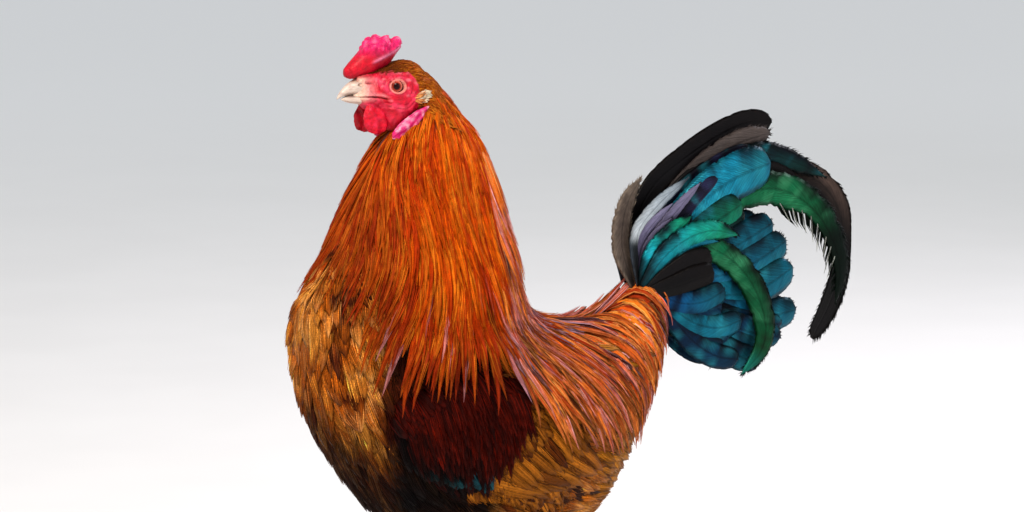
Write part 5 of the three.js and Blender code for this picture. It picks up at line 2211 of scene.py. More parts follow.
BOTH, NEAR, FAR = (1, -1), (1,), (-1,)
QUILLS = (
    Quill(
        NEAR, (9, 11), 22, ARCHED, Tone.BROWN_BLACK,
        ((150, 400), (137, 436), (137, 461), (143, 482), (156, 501)),
    ),
    Quill(FAR, (7, 8), 13, ARCHED, Tone.BROWN_BLACK, ((156, 400), (150, 436), (152, 458), (162, 488))),
    Quill(
        FAR, (2, 5), 27, ROUND, Tone.BLACK,
        ((160, 405), (163, 465), (180, 492), (210, 513), (250, 534), (280, 544), (307, 545)),
    ),
    Quill(
        NEAR, (1, 1), 25, SLIVER, Tone.UNDER,
        ((164, 405), (172, 462), (194, 489), (228, 509), (264, 526), (301, 535)),
    ),
    Quill(BOTH, (14, 17), 15, ARCHED, Tone.SILVER, ((152, 402), (150, 450), (172, 477), (203, 499))),
    Quill(BOTH, (10, 15), 47, ROUND, Tone.TEAL, ((160, 402), (192, 450), (222, 478), (255, 497), (293, 509))),
    Quill(BOTH, (9, 13), 36, ROUND, Tone.BRIGHT, ((160, 402), (202, 438), (232, 455), (263, 472))),
    Quill(
        BOTH, (3, 4), 28, ARCHED, Tone.NIGHT,
        ((164, 405), (210, 468), (252, 502), (289, 515), (322, 508), (362, 490)),
    ),
    Quill(
        NEAR, (7, 10), 34, SICKLE, Tone.GREEN,
        (
            (164, 403), (210, 447), (253, 475), (292, 484), (323, 476), (350, 455), (368, 427), (375, 400),
            (371, 370),
        ),
        loose=1.0,
    ),
    Quill(
        FAR, (5, 8), 26, BROAD, Tone.SOOT,
        (
            (166, 403), (216, 452), (264, 482), (308, 496), (341, 494), (368, 480), (386, 455), (392, 424),
            (387, 393), (376, 364), (357, 334),
        ),
    ),
    Quill(BOTH, (15, 21), 24, ARCHED, Tone.BRIGHT, ((154, 402), (166, 430), (184, 449), (204, 464))),
    Quill(
        BOTH, (17, 25), 25, ARCHED, Tone.BRIGHT,
        ((154, 402), (178, 430), (202, 445), (226, 450), (252, 444)),
    ),
    Quill(
        BOTH, (13, 27), 25, SICKLE, Tone.GREEN,
        (
            (160, 400), (190, 430), (219, 435), (248, 421), (269, 399), (281, 373), (284, 350), (277, 332),
            (256, 313),
        ),
    ),
    Quill(BOTH, (8, 12), 36, ROUND, Tone.TEAL, ((166, 404), (212, 416), (256, 432), (298, 452))),
    Quill(BOTH, (7, 10.5), 38, ROUND, Tone.BLUE, ((166, 403), (222, 403), (270, 412), (314, 434))),
    Quill(BOTH, (6, 9), 36, ROUND, Tone.TEAL, ((166, 402), (230, 388), (280, 388), (323, 408))),
    Quill(BOTH, (5.5, 8), 34, ROUND, Tone.BLUE, ((166, 400), (230, 378), (283, 362), (328, 367))),
    Quill(BOTH, (10, 16), 28, ROUND, Tone.MIDNIGHT, ((166, 398), (222, 373), (268, 352), (306, 343))),
    Quill(BOTH, (11, 16), 27, ROUND, Tone.MIDNIGHT, ((166, 396), (212, 358), (250, 333), (284, 320))),
    Quill(BOTH, (16, 22), 26, ROUND, Tone.BLUE, ((168, 396), (194, 384), (218, 384), (240, 394))),
    Quill(BOTH, (15, 20), 26, ROUND, Tone.TEAL, ((170, 394), (206, 366), (234, 358), (260, 364))),
    Quill(BOTH, (14, 18), 24, ROUND, Tone.MIDNIGHT, ((170, 392), (206, 350), (232, 332), (258, 326))),
    Quill(BOTH, (17, 22), 27, ROUND, Tone.BLACK, ((160, 398), (184, 410), (206, 420), (226, 424))),
    Quill(BOTH, (18, 23), 26, ROUND, Tone.BLACK, ((160, 396), (186, 400), (208, 406), (228, 410))),
    Quill(BOTH, (11, 16), 22, ROUND, Tone.VIOLET, ((158, 404), (186, 444), (212, 474), (236, 498))),
    Quill(BOTH, (12, 17), 15, ARCHED, Tone.LILAC, ((156, 404), (172, 446), (194, 472), (216, 494))),
)
BETWEEN = (
    (5, 6, 1, 0.92, 24, Tone.VIOLET),
    (3, 5, 2, 0.9, 20, Tone.VIOLET),
    (6, 13, 2, 0.94, 26, Tone.NIGHT),
    (13, 14, 1, 0.94, 24, Tone.MIDNIGHT),
    (14, 15, 1, 0.94, 24, Tone.MIDNIGHT),
    (15, 16, 1, 0.82, 24, Tone.MIDNIGHT),
    (16, 17, 1, 0.96, 24, Tone.MIDNIGHT),
    (17, 18, 1, 0.96, 24, Tone.MIDNIGHT),
    (10, 11, 3, 0.92, 13, Tone.BRIGHT),
    (11, 22, 2, 0.9, 14, Tone.TEAL),
    (4, 10, 2, 0.82, 12, Tone.LILAC),
    (7, 8, 2, 0.78, 22, Tone.BLACK),
    (3, 7, 2, 0.84, 22, Tone.BLACK),
    (22, 19, 2, 0.9, 22, Tone.BLACK),
    (19, 20, 2, 0.9, 22, Tone.MIDNIGHT),
    (20, 21, 2, 0.9, 22, Tone.MIDNIGHT),
    (10, 19, 4, 0.6, 20, Tone.BLACK),
    (19, 21, 4, 0.6, 20, Tone.BLACK),
)


@dataclass
class Tail(Coat):
    """The tail: fan, sickles and coverts, each feather a bowed vane with a fringe of barbs."""

    steps: int = 56

    def feathers(self) -> list[Quill]:
        """Lists all the tail's feathers.

        Returns:
            The main ones, then those between them.
        """
        made = list(QUILLS)
        for first, second, count, scale, wide, tone in BETWEEN:
            for i in range(count):
                short = scale * (1 - 0.06 * (i % 2))
                made.append(QUILLS[first].between(QUILLS[second], (i + 1) / (count + 1), short, wide, tone))
        return made

    def build(self, material: Material) -> None:
        """Makes the tail.

        Args:
            material: its material.
        """
        feathers = [(quill, side) for quill in self.feathers() for side in quill.sides]
        columns = math.ceil(math.sqrt(len(feathers)))
        for i, (quill, side) in enumerate(feathers):
            cell = (np.array([i % columns, i // columns]) + 0.5) / columns
            rings = self.vane(quill, side)
            tint, rim = self.dye(rings, quill)
            self.vanes.add(rings[None], WIDE, (tint[None], rim[None]), cell[None], 0.9 / columns)
            self.fringe(quill, side, rings, rim)
            if quill.loose:
                self.pale_barbs(quill, side, rings)
        self.made(("tail_vanes", "tail_barbs"), material, "tail", "tail", "sickle_left", "sickle_right")

    def spine(self, quill: Quill, side: int) -> tuple[Array, Array, Array]:
        """Finds a feather's midline and its lie.

        Args:
            quill: the feather.
            side: 1 for left, -1 for right.

        Returns:
            The points, and the way along and across it at each.
        """
        line = quill.midline(side, self.steps)
        way = unit(np.gradient(line, axis=0))
        across = np.stack([np.full(len(line), side * quill.tilt), -way[:, 2], way[:, 1]], -1)
        return line, way, unit(across - way * (across * way).sum(-1, keepdims=True))

    def vane(self, quill: Quill, side: int) -> Array:
        """Makes a feather's vane.

        Args:
            quill: the feather.
            side: 1 for left, -1 for right.

        Returns:
            Its rings.
        """
        line, way, across = self.spine(quill, side)
        up = np.cross(way, across)
        outward = np.where((up[:, :1] * side) > 0, 1.0, -1.0)
        t = np.linspace(0, 1, self.steps)
        half = quill.wide / 2 * sample(quill.shape, t)[:, 0]
        notch = (t * quill.wide * 0.9 + 0.4 * np.sin(t * 31)) % 1
        rough = 0.05 if quill.shape is ROUND else 0.14
        ruffle = 1 - rough * smooth(0.72, 0.98, notch) * smooth(0.25, 0.45, t)
        inner = 1 - 0.5 * quill.loose * smooth(0.58, 0.7, t)
        rings = []
        for share, lift in zip(SPANS, LIFTS):
            bow = (1 - share**2) * 0.14 * half
            off = share * half * ruffle * (inner if share < 0 else 1)
            rings.append(line + (across * off[:, None] + up * outward * bow[:, None] + up * lift * 0.9))
        return np.stack(rings, 1)

    def dye(self, rings: Array, quill: Quill) -> Dyes:
        """Gives a feather's colours: inner to outer tone, with drifts of other hues along and across it.

        Args:
            rings: its rings.
            quill: the feather.

        Returns:
            Inner and edge colours, by ring and side.
        """
        tone = quill.tone
        inner, outer, rim = (colour(code) for code in tone.value[:3])
        t = np.linspace(0, 1, len(rings))[:, None]
        base = layered(inner + 0 * rings, (outer, smooth(0.2, 0.95, t)))
        upper = smooth(-0.5, 0.9, np.array(SPANS))
        if tone in SHOT or tone is Tone.GREEN:
            # Painted shade: one half of each shot or green vane darkened, in patches along it.
            painted_upper_shade = smooth(0.0, 0.5, waves(rings[:, :1], 26, self.seed + 3, 5) + 0.5)
            base = layered(base, ("0b0808", 0.9 * upper * painted_upper_shade))
        if tone in SHOT:
            # Bright cyan drifts are painted sheen; dark drifts go to near black.
            drift = 0.6 * waves(rings, 34, self.seed + 5, 7) + 0.6 * waves(rings, 13, self.seed + 6, 7)
            drift = drift + self.rng.normal(0, 0.12)
            painted_sheen, dark = smooth(0.1, 0.9, drift) * 0.6, smooth(0.0, 0.8, -drift) * 0.9
            base = layered(base, ("30a8ba", painted_sheen), ("060416", dark))
        if tone is Tone.GREEN:
            drift = 0.6 * waves(rings, 30, self.seed + 9, 7) + 0.5 * waves(rings, 12, self.seed + 6, 7)
            pale, dark = smooth(0.0, 1.0, drift) * 0.65, smooth(0.1, 1.0, -drift) * 0.75
            end = ("06120c", smooth(0.62, 0.8, t)) if quill.loose else ("148c78", smooth(0.86, 0.96, t))
            base = layered(base, ("5cc88c", pale), ("1c2a18", dark), end)
        if tone is Tone.SOOT:
            base = layered(base, ("705a50", upper * smooth(0.78, 0.5, t) * smooth(0.3, 0.45, t)))
        if tone is Tone.SILVER:
            # The pale middle is a painted glossy highlight; outside it the vane is dark grey.
            lit = smooth(0.3, 0.42, t) * smooth(0.98, 0.86, t)
            base = mix(colour("1a2024"), base, lit[..., None])
        base = layered(base, ("0c0a0c", 0.85 * smooth(0.34, 0.06, t)))
        gloss = np.full((*base.shape[:2], 1), tone.value[3])
        lightness = np.exp(self.rng.normal(0, 0.12))
        tint = np.concatenate([np.clip(base * lightness, 0, 1), gloss], -1)
        return tint, np.concatenate([rim * lightness + 0 * base, gloss * 0.7], -1)

    def fringe(self, quill: Quill, side: int, rings: Array, rim: Array) -> None:
        """Adds the fine barbs that leave both edges of a vane towards its tip.

        Args:
            quill: the feather.
            side: 1 for left, -1 for right.
            rings: its vane's rings.
            rim: its edge colours.
        """
        line, way, across = self.spine(quill, side)
        short = 0.06 if quill.shape is ROUND else 0.18
        places = np.arange(self.steps)
        steps = 3
        for edge, sign, loose in ((0, -1, quill.loose), (4, 1, 0.0)):
            n = int(runs(line)[-1] / 2.1)
            t = np.sort(1 - 0.8 * self.rng.random(n) ** 1.3)
            reach = quill.wide * short * self.spread(0.5, 1.3, n)
            thick = np.full(n, 0.9)
            if loose:
                t = np.concatenate([t[t < 0.6], np.linspace(0.56, 0.95, 22) + self.rng.normal(0, 0.005, 22)])
                n = len(t)
                long = np.where(t < 0.56, 0.1, 0.6 * smooth(1.12, 0.75, t))
                reach = long * quill.wide * self.spread(0.8, 1.15, n)
                thick = np.where(t < 0.56, 0.9, 3.1) * self.spread(0.7, 1.15, n)
            x = t * (self.steps - 1)
            start, along, out = (read(x, places, values) for values in (rings[:, edge], way, across))
            out = out * sign
            bars = []
            for s in np.linspace(0, 1, steps):
                spot = start - out * 1.2 + (along * (0.9 * s) + out * mix(0.95, 0.5, s) * s) * reach[:, None]
                thin = (thick * (1 - 0.9 * s**1.6))[:, None]
                up = np.cross(along, out)
                bars.append(np.stack([spot + along * thin, spot + up * 0.22, spot - along * thin], 1))
            strands = np.stack(bars, 1)
            if sign < 0:
                strands = strands[:, :, ::-1]
            shade = np.repeat(read(x, places, rim[:, edge])[:, None], steps, 1)
            cell = 0.5 + self.rng.uniform(-0.48, 0.48, (n, 2))
            self.strands.add(strands, ROOF, (shade, shade), cell)

    def pale_barbs(self, quill: Quill, side: int, rings: Array) -> None:
        """Adds the few bare barbs that hang from the loose sickle's inner edge, painted near white as if lit
        from behind.

        Args:
            quill: the feather.
            side: 1 for left, -1 for right.
            rings: its vane's rings.
        """
        _, way, across = self.spine(quill, side)
        made = []
        for t in (0.56, 0.62, 0.66, 0.7, 0.735, 0.78, 0.82, 0.86):
            i = round(t * (self.steps - 1))
            length = quill.wide * 0.62 * self.spread(0.8, 1.15, 1)[0]
            start = rings[i, 0] - across[i] * -3.0 + np.array([side * 1.6, 0, 0])
            bars = []
            for s in np.linspace(0, 1, 5):
                spot = start + (way[i] * 0.9 * s - across[i] * 0.7 * s) * length
                thin = 1.15 * (1 - 0.8 * abs(2 * s - 0.8) ** 2 * 0.6)
                bars.append(spot + thin * np.stack([way[i], across[i] * 0.5, -way[i]]))
            made.append(np.stack(bars))
        # Near white: painted backlight.
        shade = np.broadcast_to(np.append(colour("f0f4e8"), 0.0), (len(made), 5, 4))
        self.strands.add(np.stack(made), ROOF, (shade, shade), self.rng.uniform(0.02, 0.98, (len(made), 2)))


class HeadForm(Field):
    """The head's distance on a fine lattice."""

    LOW = np.array([-36.0, -140.0, 536.0])
    HIGH = np.array([36.0, -14.0, 622.0])
    STEP = 1.25

    def __init__(self, outside: Callable[[Array], Array]) -> None:
        """Fills the lattice with a distance."""
        super().__init__(outside(self.points()))


@dataclass
class Crown(Coat):
    """Tiny feathers on crown, cheek and ear, shortest next to the bare skin."""

    count: int = 14000

    @staticmethod
    def outside(p: Array) -> Array:
        """Distance outside head and nape as one form."""
        return soft_min(Head.outside(p), NECK.outside(p) + 0.6, 4)

    @staticmethod
    def flow(p: Array, t: float) -> Array:
        """The lie: to the rear and down.

        Args:
            p: points.
            t: the share of a feather's length.

        Returns:
            The way at each point.
        """
        nape = smooth(-70, -52, p[..., 1])
        ear = np.exp(-(((p[..., 1] + 71) / 8) ** 2) - ((p[..., 2] - 587) / 6) ** 2)
        fall = -0.2 - 1.0 * nape * (1 - ear) + 0.5 * ear
        return np.stack([0.1 * np.sign(p[..., 0]), 1 - 0.4 * nape, fall], -1)

    def build(self, material: Material) -> None:
        """Lays the head's small feathers.

        Args:
            material: their material.
        """
        y, a = self.spread(-119, -39, self.count), self.spread(-math.pi, math.pi, self.count)
        start = np.stack([0 * y, np.minimum(y, -50), 586 + 0 * y], -1)
        way = unit(np.stack([np.cos(a), np.maximum(y + 50, 0) * 0.12, np.sin(a)], -1))
        roots = cast(self.outside, start, way, 46)
        past = Head.into_feathers(roots)
        ear_off = np.hypot(roots[:, 1] + 72.5, (roots[:, 2] - 585.0 - 0.25 * (roots[:, 1] + 72.5)) * 1.35)
        ear = (ear_off < 5.8) & (np.abs(roots[:, 0]) > 8)
        stay = ((past > 0) | ear) & (roots[:, 2] > 566) & (roots[:, 1] < -38)
        roots, ear, past = roots[stay], ear[stay], past[stay]
        n = len(roots)
        length = mix(4.5, 14.0, smooth(-116, -60, roots[:, 1])) * self.spread(0.8, 1.25, n)
        length *= mix(0.4, 1.0, smooth(0, 7, past))
        length = np.where(ear, self.spread(6.5, 8.5, n), length)
        lift = np.where(ear, 2.4, 1.0) * self.spread(0.5, 1.3, n)
        batch = Batch(FRAY, roots, length, np.where(ear, 2.1, length * 0.19), 0.3, lift)
        rings = batch.lay(HeadForm(self.outside), self.flow, self.rng, 0.16, 0.2).vanes()
        brown = self.choose("a84c0c", "cc7018", np.full(n, 0.45))
        # Darker towards the front, under the comb: painted shade.
        base = layered(brown, ("5a240a", 0.75 * smooth(-78, -100, roots[:, 1])))
        cream = self.choose("ffe4c4", "f09858", smooth(-70, -79, roots[:, 1]))
        base = np.where(ear[:, None], cream, base)[:, None] + 0 * rings[:, :, 1]
        dyes = (self.dyed(base, 0.0), self.dyed(base * 0.8, 0.0))
        self.vanes.add(rings, ROOF, dyes, self.skin.roots(roots))
        dress(self.vanes.build("head_coat"), material, "hackle")


# ------------------------------------------------------------ comb to eyes


@dataclass
class Comb:
    """The lumpy rose comb, set over the beak's root."""

    seed: int = 3
    tries: int = 150
    apart: float = 5.6
    shell: Shell = Shell(COMB.rows, (-137.5, -79.6), 130, 150, 0.6, 30)

    def __post_init__(self) -> None:
        """Sets the centres and radii of its lumps."""
        rng = np.random.default_rng(self.seed)
        y = rng.uniform(-118, -83, self.tries)
        spots = COMB.point(y, rng.uniform(0.3, math.pi - 0.3, self.tries), -1.4)
        kept: list[Array] = []
        for spot in spots:
            if all(np.linalg.norm(spot - other) > self.apart for other in kept):
                kept.append(spot)
        self.centres, self.radii = np.array(kept), rng.uniform(2.8, 4.2, len(kept))

    @staticmethod
    def over_ridge(p: Array) -> Array:
        """How far points lie over the line of the comb's ridges."""
        return p[..., 2] - 618 - 0.42 * (p[..., 1] + 110)

    def outside(self, p: Array) -> Array:
        """Finds how far outside the comb points lie.

        Args:
            p: the points.

        Returns:
            The distances.
        """
        shell = COMB.outside(p) + 1.0
        for centre, radius in zip(self.centres, self.radii):
            shell = soft_min(shell, np.linalg.norm(p - centre, axis=-1) - radius, 2.0)
        ridge = np.hypot(np.abs(p[..., 0]) - 10.5, self.over_ridge(p)) - 1.2
        ridge = ridge + 2.5 * smooth(14, 20, np.abs(p[..., 1] + 98))
        shell = soft_min(shell, ridge, 2.4)
        notch = np.hypot((p[..., 1] + 90.5) / 1.0, (p[..., 2] - 637) / 2.4) - 2.0
        return -soft_min(-shell, notch, 2.0) - 0.16 * waves(p, 3.0, 71, 9)

    def tint(self, p: Array) -> Array:
        """Gives the comb's colours.

        Args:
            p: points of it.

        Returns:
            Linear colours.
        """
        y, z = p[:, 1], p[:, 2]
        near = np.min(np.linalg.norm(p[:, None] - self.centres[None], axis=-1) - self.radii[None], axis=1)
        return layered(
            colour("e60436"),
            # Darker between the lumps: painted shade in the creases.
            ("a80220", smooth(-0.4, 1.8, near)),
            ("dc0024", 0.7 * smooth(-104, -120, y)),
            ("e6247c", 0.6 * smooth(618, 632, z)),
            # Painted highlight along the ridges.
            ("ff8cb4", 0.6 * (bell(self.over_ridge(p), 1.6) * smooth(18, 12, np.abs(y + 98)))),
            ("f47aa4", 0.5 * (smooth(0.1, 0.9, waves(p, 9, 72, 7)) * smooth(622, 632, z))),
            # Darker low down where the comb meets the head: painted shade.
            ("9a0a22", 0.6 * smooth(612, 603, z)),
        )

    def build(self, material: Material) -> None:
        """Makes the comb.

        Args:
            material: its material.
        """
        points = self.shell.surface(self.outside)
        points[..., 1] -= 0.58 * np.abs(points[..., 0]) * smooth(-106, -84, points[..., 1])
        solid("comb_skin", wrapped(points), self.tint, material, "comb", "comb")


@dataclass(frozen=True)
class Drop:
    """A hanging fold of skin: a flattened drop with folds and grain, in a light, a main and a dark tone."""

    node: str
    slot: str
    side: Side
    centre: tuple[float, float, float]
    size: tuple[float, float, float]
    splay: float
    lean: float
    tones: tuple[str, str, str]
    rings: int = 56
    sides: int = 64

    def build(self, material: Material) -> None:
        """Makes the fold.

        Args:
            material: its material.
        """
        s = self.side.value
        size = np.array(self.size)
        a, b = np.linspace(0, math.pi, self.rings)[:, None], turns(self.sides)[None, :]
        swell = np.sin(a) * (1 - 0.28 * np.cos(a))
        x, y, z = size[0] * swell * np.cos(b), size[1] * swell * np.sin(b), size[2] * np.cos(a) + 0 * b
        local = np.stack([x, y, z], -1)
        outwards = unit(local / size**2)
        folds = 0.5 * np.sin(local[..., 1] * 0.75 + 1.2 * np.sin(local[..., 2] * 0.22))
        folds = folds * smooth(-0.2, 0.8, np.abs(outwards[..., 0]))
        grain = 0.3 * waves(local + 40 * s, 3.6, 81, 9) + 0.22 * waves(local, 7.5, 82, 7)
        local = local - outwards * (0.55 + folds + grain)[..., None] * smooth(0, 0.25, np.sin(a))[..., None]
        turn = Matrix.Rotation(-s * self.splay, 3, "Y") @ Matrix.Rotation(self.lean, 3, "X")
        placed = local @ np.array(turn).T + np.array(self.centre) * np.array([s, 1, 1])
        solid(f"{self.node}_skin", wrapped(placed), self.tint, material, self.slot, self.node)

    def tint(self, p: Array) -> Array:
        """Gives the fold's colours.

        Args:
            p: points of it.

        Returns:
            Linear colours.
        """
        light, main, dark = self.tones
        spots, veins = smooth(-0.2, 0.9, waves(p, 6.5, 83, 8)), smooth(0.0, 0.8, waves(p, 3.2, 84, 8))
        return layered(colour(main), (light, 0.7 * spots), (dark, 0.5 * veins))


@dataclass(frozen=True)
class Beak:
    """One half of the beak."""

    node: str
    form: Tube
    rings: int = 70
    sides: int = 64

    @property
    def upper(self) -> bool:
        """Whether it is the upper half."""
        return self.form is UPPER_BEAK

    @staticmethod
    def nostril(p: Array) -> Array:
        """How far points lie from the nostril's middle, with one at its rim."""
        return np.hypot((p[..., 1] + 122.5) / 3.4, (p[..., 2] - 597.0) / 1.3)

    def build(self, material: Material) -> None:
        """Makes the half.

        Args:
            material: its material.
        """
        low, high = self.form.rows[0][0], self.form.rows[-1][0]
        t = mix(low, high, np.linspace(0, 1, self.rings) ** 1.25)[:, None]
        a = turns(self.sides)[None, :]
        points = self.form.point(t, a)
        lift = np.sin(a) + 0 * t
        if self.upper:
            points[..., 2] += (np.clip(lift, 0, 1) * 1.5 - np.clip(-lift, 0, 1) * 0.5) * smooth(-144, -132, t)
            ridge = np.clip(np.sin(a), 0, 1) ** 3
            points[..., 0] *= 1 - 0.3 * ridge * (1 - np.abs(np.cos(a)))
            hole = self.nostril(points)
            points[..., 0] *= 1 - 0.34 * smooth(1.25, 0.55, hole)
            points[..., 0] += np.sign(points[..., 0]) * (bell(hole - 1.6, 0.45) * 0.35)
            edge = bell(points[..., 2] - sample(self.form.rows, t)[..., 0] + 3.6, 1.0) * 0.35
            points[..., 0] += np.sign(points[..., 0]) * edge * smooth(-142, -134, points[..., 1])
        else:
            points[..., 2] += np.clip(lift, 0, 1) ** 2 * 1.5 * smooth(-140, -130, t)
        solid(f"{self.node}_horn", wrapped(points), self.tint, material, "horn", self.node)

    def tint(self, p: Array) -> Array:
        """Gives shades over the horn's own colours.

        Args:
            p: points of it.

        Returns:
            Linear colours.
        """
        y, z = p[:, 1], p[:, 2]
        base = layered(np.ones((len(p), 3)), ("d8a58c", 0.7 * smooth(-122, -113, y)))
        if not self.upper:
            return layered(base, ("6a4a40", 0.8 * smooth(585.6, 587.2, z)))
        return layered(
            base,
            ("a8764e", 0.55 * (smooth(597.5, 600.5, z) * smooth(-140, -128, y))),
            # Dark nostril: painted shade in its pit.
            ("3a1c14", 0.85 * smooth(1.1, 0.6, self.nostril(p))),
            ("8c6a58", 0.6 * (smooth(591.3, 589.2, z) * smooth(-141, -134, y))),
        )


@dataclass(frozen=True)
class Eye:
    """An eye: a ball coloured with an iris, a round pupil and a dark rim."""

    side: Side
    look: tuple[float, float, float] = (0.93, -0.36, 0.04)

    def turned(self, p: Sequence[float]) -> Array:
        """A point or way brought to this side."""
        return np.array(p) * np.array([self.side.value, 1, 1])

    def build(self, material: Material) -> None:
        """Makes the eye.

        Args:
            material: its material.
        """
        bm = bmesh.new()
        bmesh.ops.create_uvsphere(bm, u_segments=72, v_segments=56, radius=EYE_RADIUS * 0.001)
        turn = Vector((0, 0, 1)).rotation_difference(Vector(unit(self.turned(self.look)))).to_matrix()
        bmesh.ops.rotate(bm, verts=bm.verts, matrix=turn)
        bmesh.ops.translate(bm, verts=bm.verts, vec=Vector(metres(self.turned(EYE))))
        node = f"eye_{self.side.word}"
        solid(f"{node}_ball", bm, self.tint, material, "eye", node)

    def tint(self, p: Array) -> Array:
        """Gives the eye's colours.

        Args:
            p: points of the ball.

        Returns:
            Linear colours.
        """
        facing = unit(p - self.turned(EYE)) @ unit(self.turned(self.look))
        off = np.degrees(np.arccos(np.clip(facing, -1, 1)))
        fibres = (("cc6c5c", smooth(38, 52, off)), ("640e08", smooth(41, 31, off) * 0.85))
        iris = layered(colour("a43c2c"), *fibres)
        return layered(colour("1c0000"), (iris, smooth(25, 32, off)), ("2a0c08", smooth(57, 62, off)))


# ------------------------------------------------------------ legs


@dataclass(frozen=True)
class Toe:
    """A toe: heading from straight ahead in degrees, length, radius at the root, and its joints."""

    name: str
    heading: float
    length: float
    radius: float
    joints: int


TOES = (
    Toe("inner", -32, 52, 6.2, 4),
    Toe("middle", 2, 68, 6.6, 5),
    Toe("outer", 36, 55, 6.2, 4),
    Toe("hind", 176, 27, 5.4, 3),
)


def swept(line: Array, radii: Array, sides: int, floor: float = -1e3) -> Array:
    """Makes rings round a line.

    Args:
        line: its points.
        radii: a radius for each point and side.
        sides: how many sides.
        floor: the lowest z.

    Returns:
        The rings.
    """
    way = unit(np.gradient(line, axis=0))
    level = np.abs(way[:, 2:]) < 0.6
    side = unit(np.where(level, np.cross([0, 0, 1.0], way), np.array([1.0, 0, 0]) - way * way[:, :1]))
    up = np.cross(way, side)
    a = turns(sides)
    off, rise = (radii * np.cos(a))[..., None], (radii * np.sin(a))[..., None]
    rings = line[:, None] + side[:, None] * off + up[:, None] * rise
    rings[..., 2] = np.maximum(rings[..., 2], floor)
    return rings


def plain(value: float, p: Array) -> Array:
    """One grey at all points."""
    return np.full((len(p), 3), value)


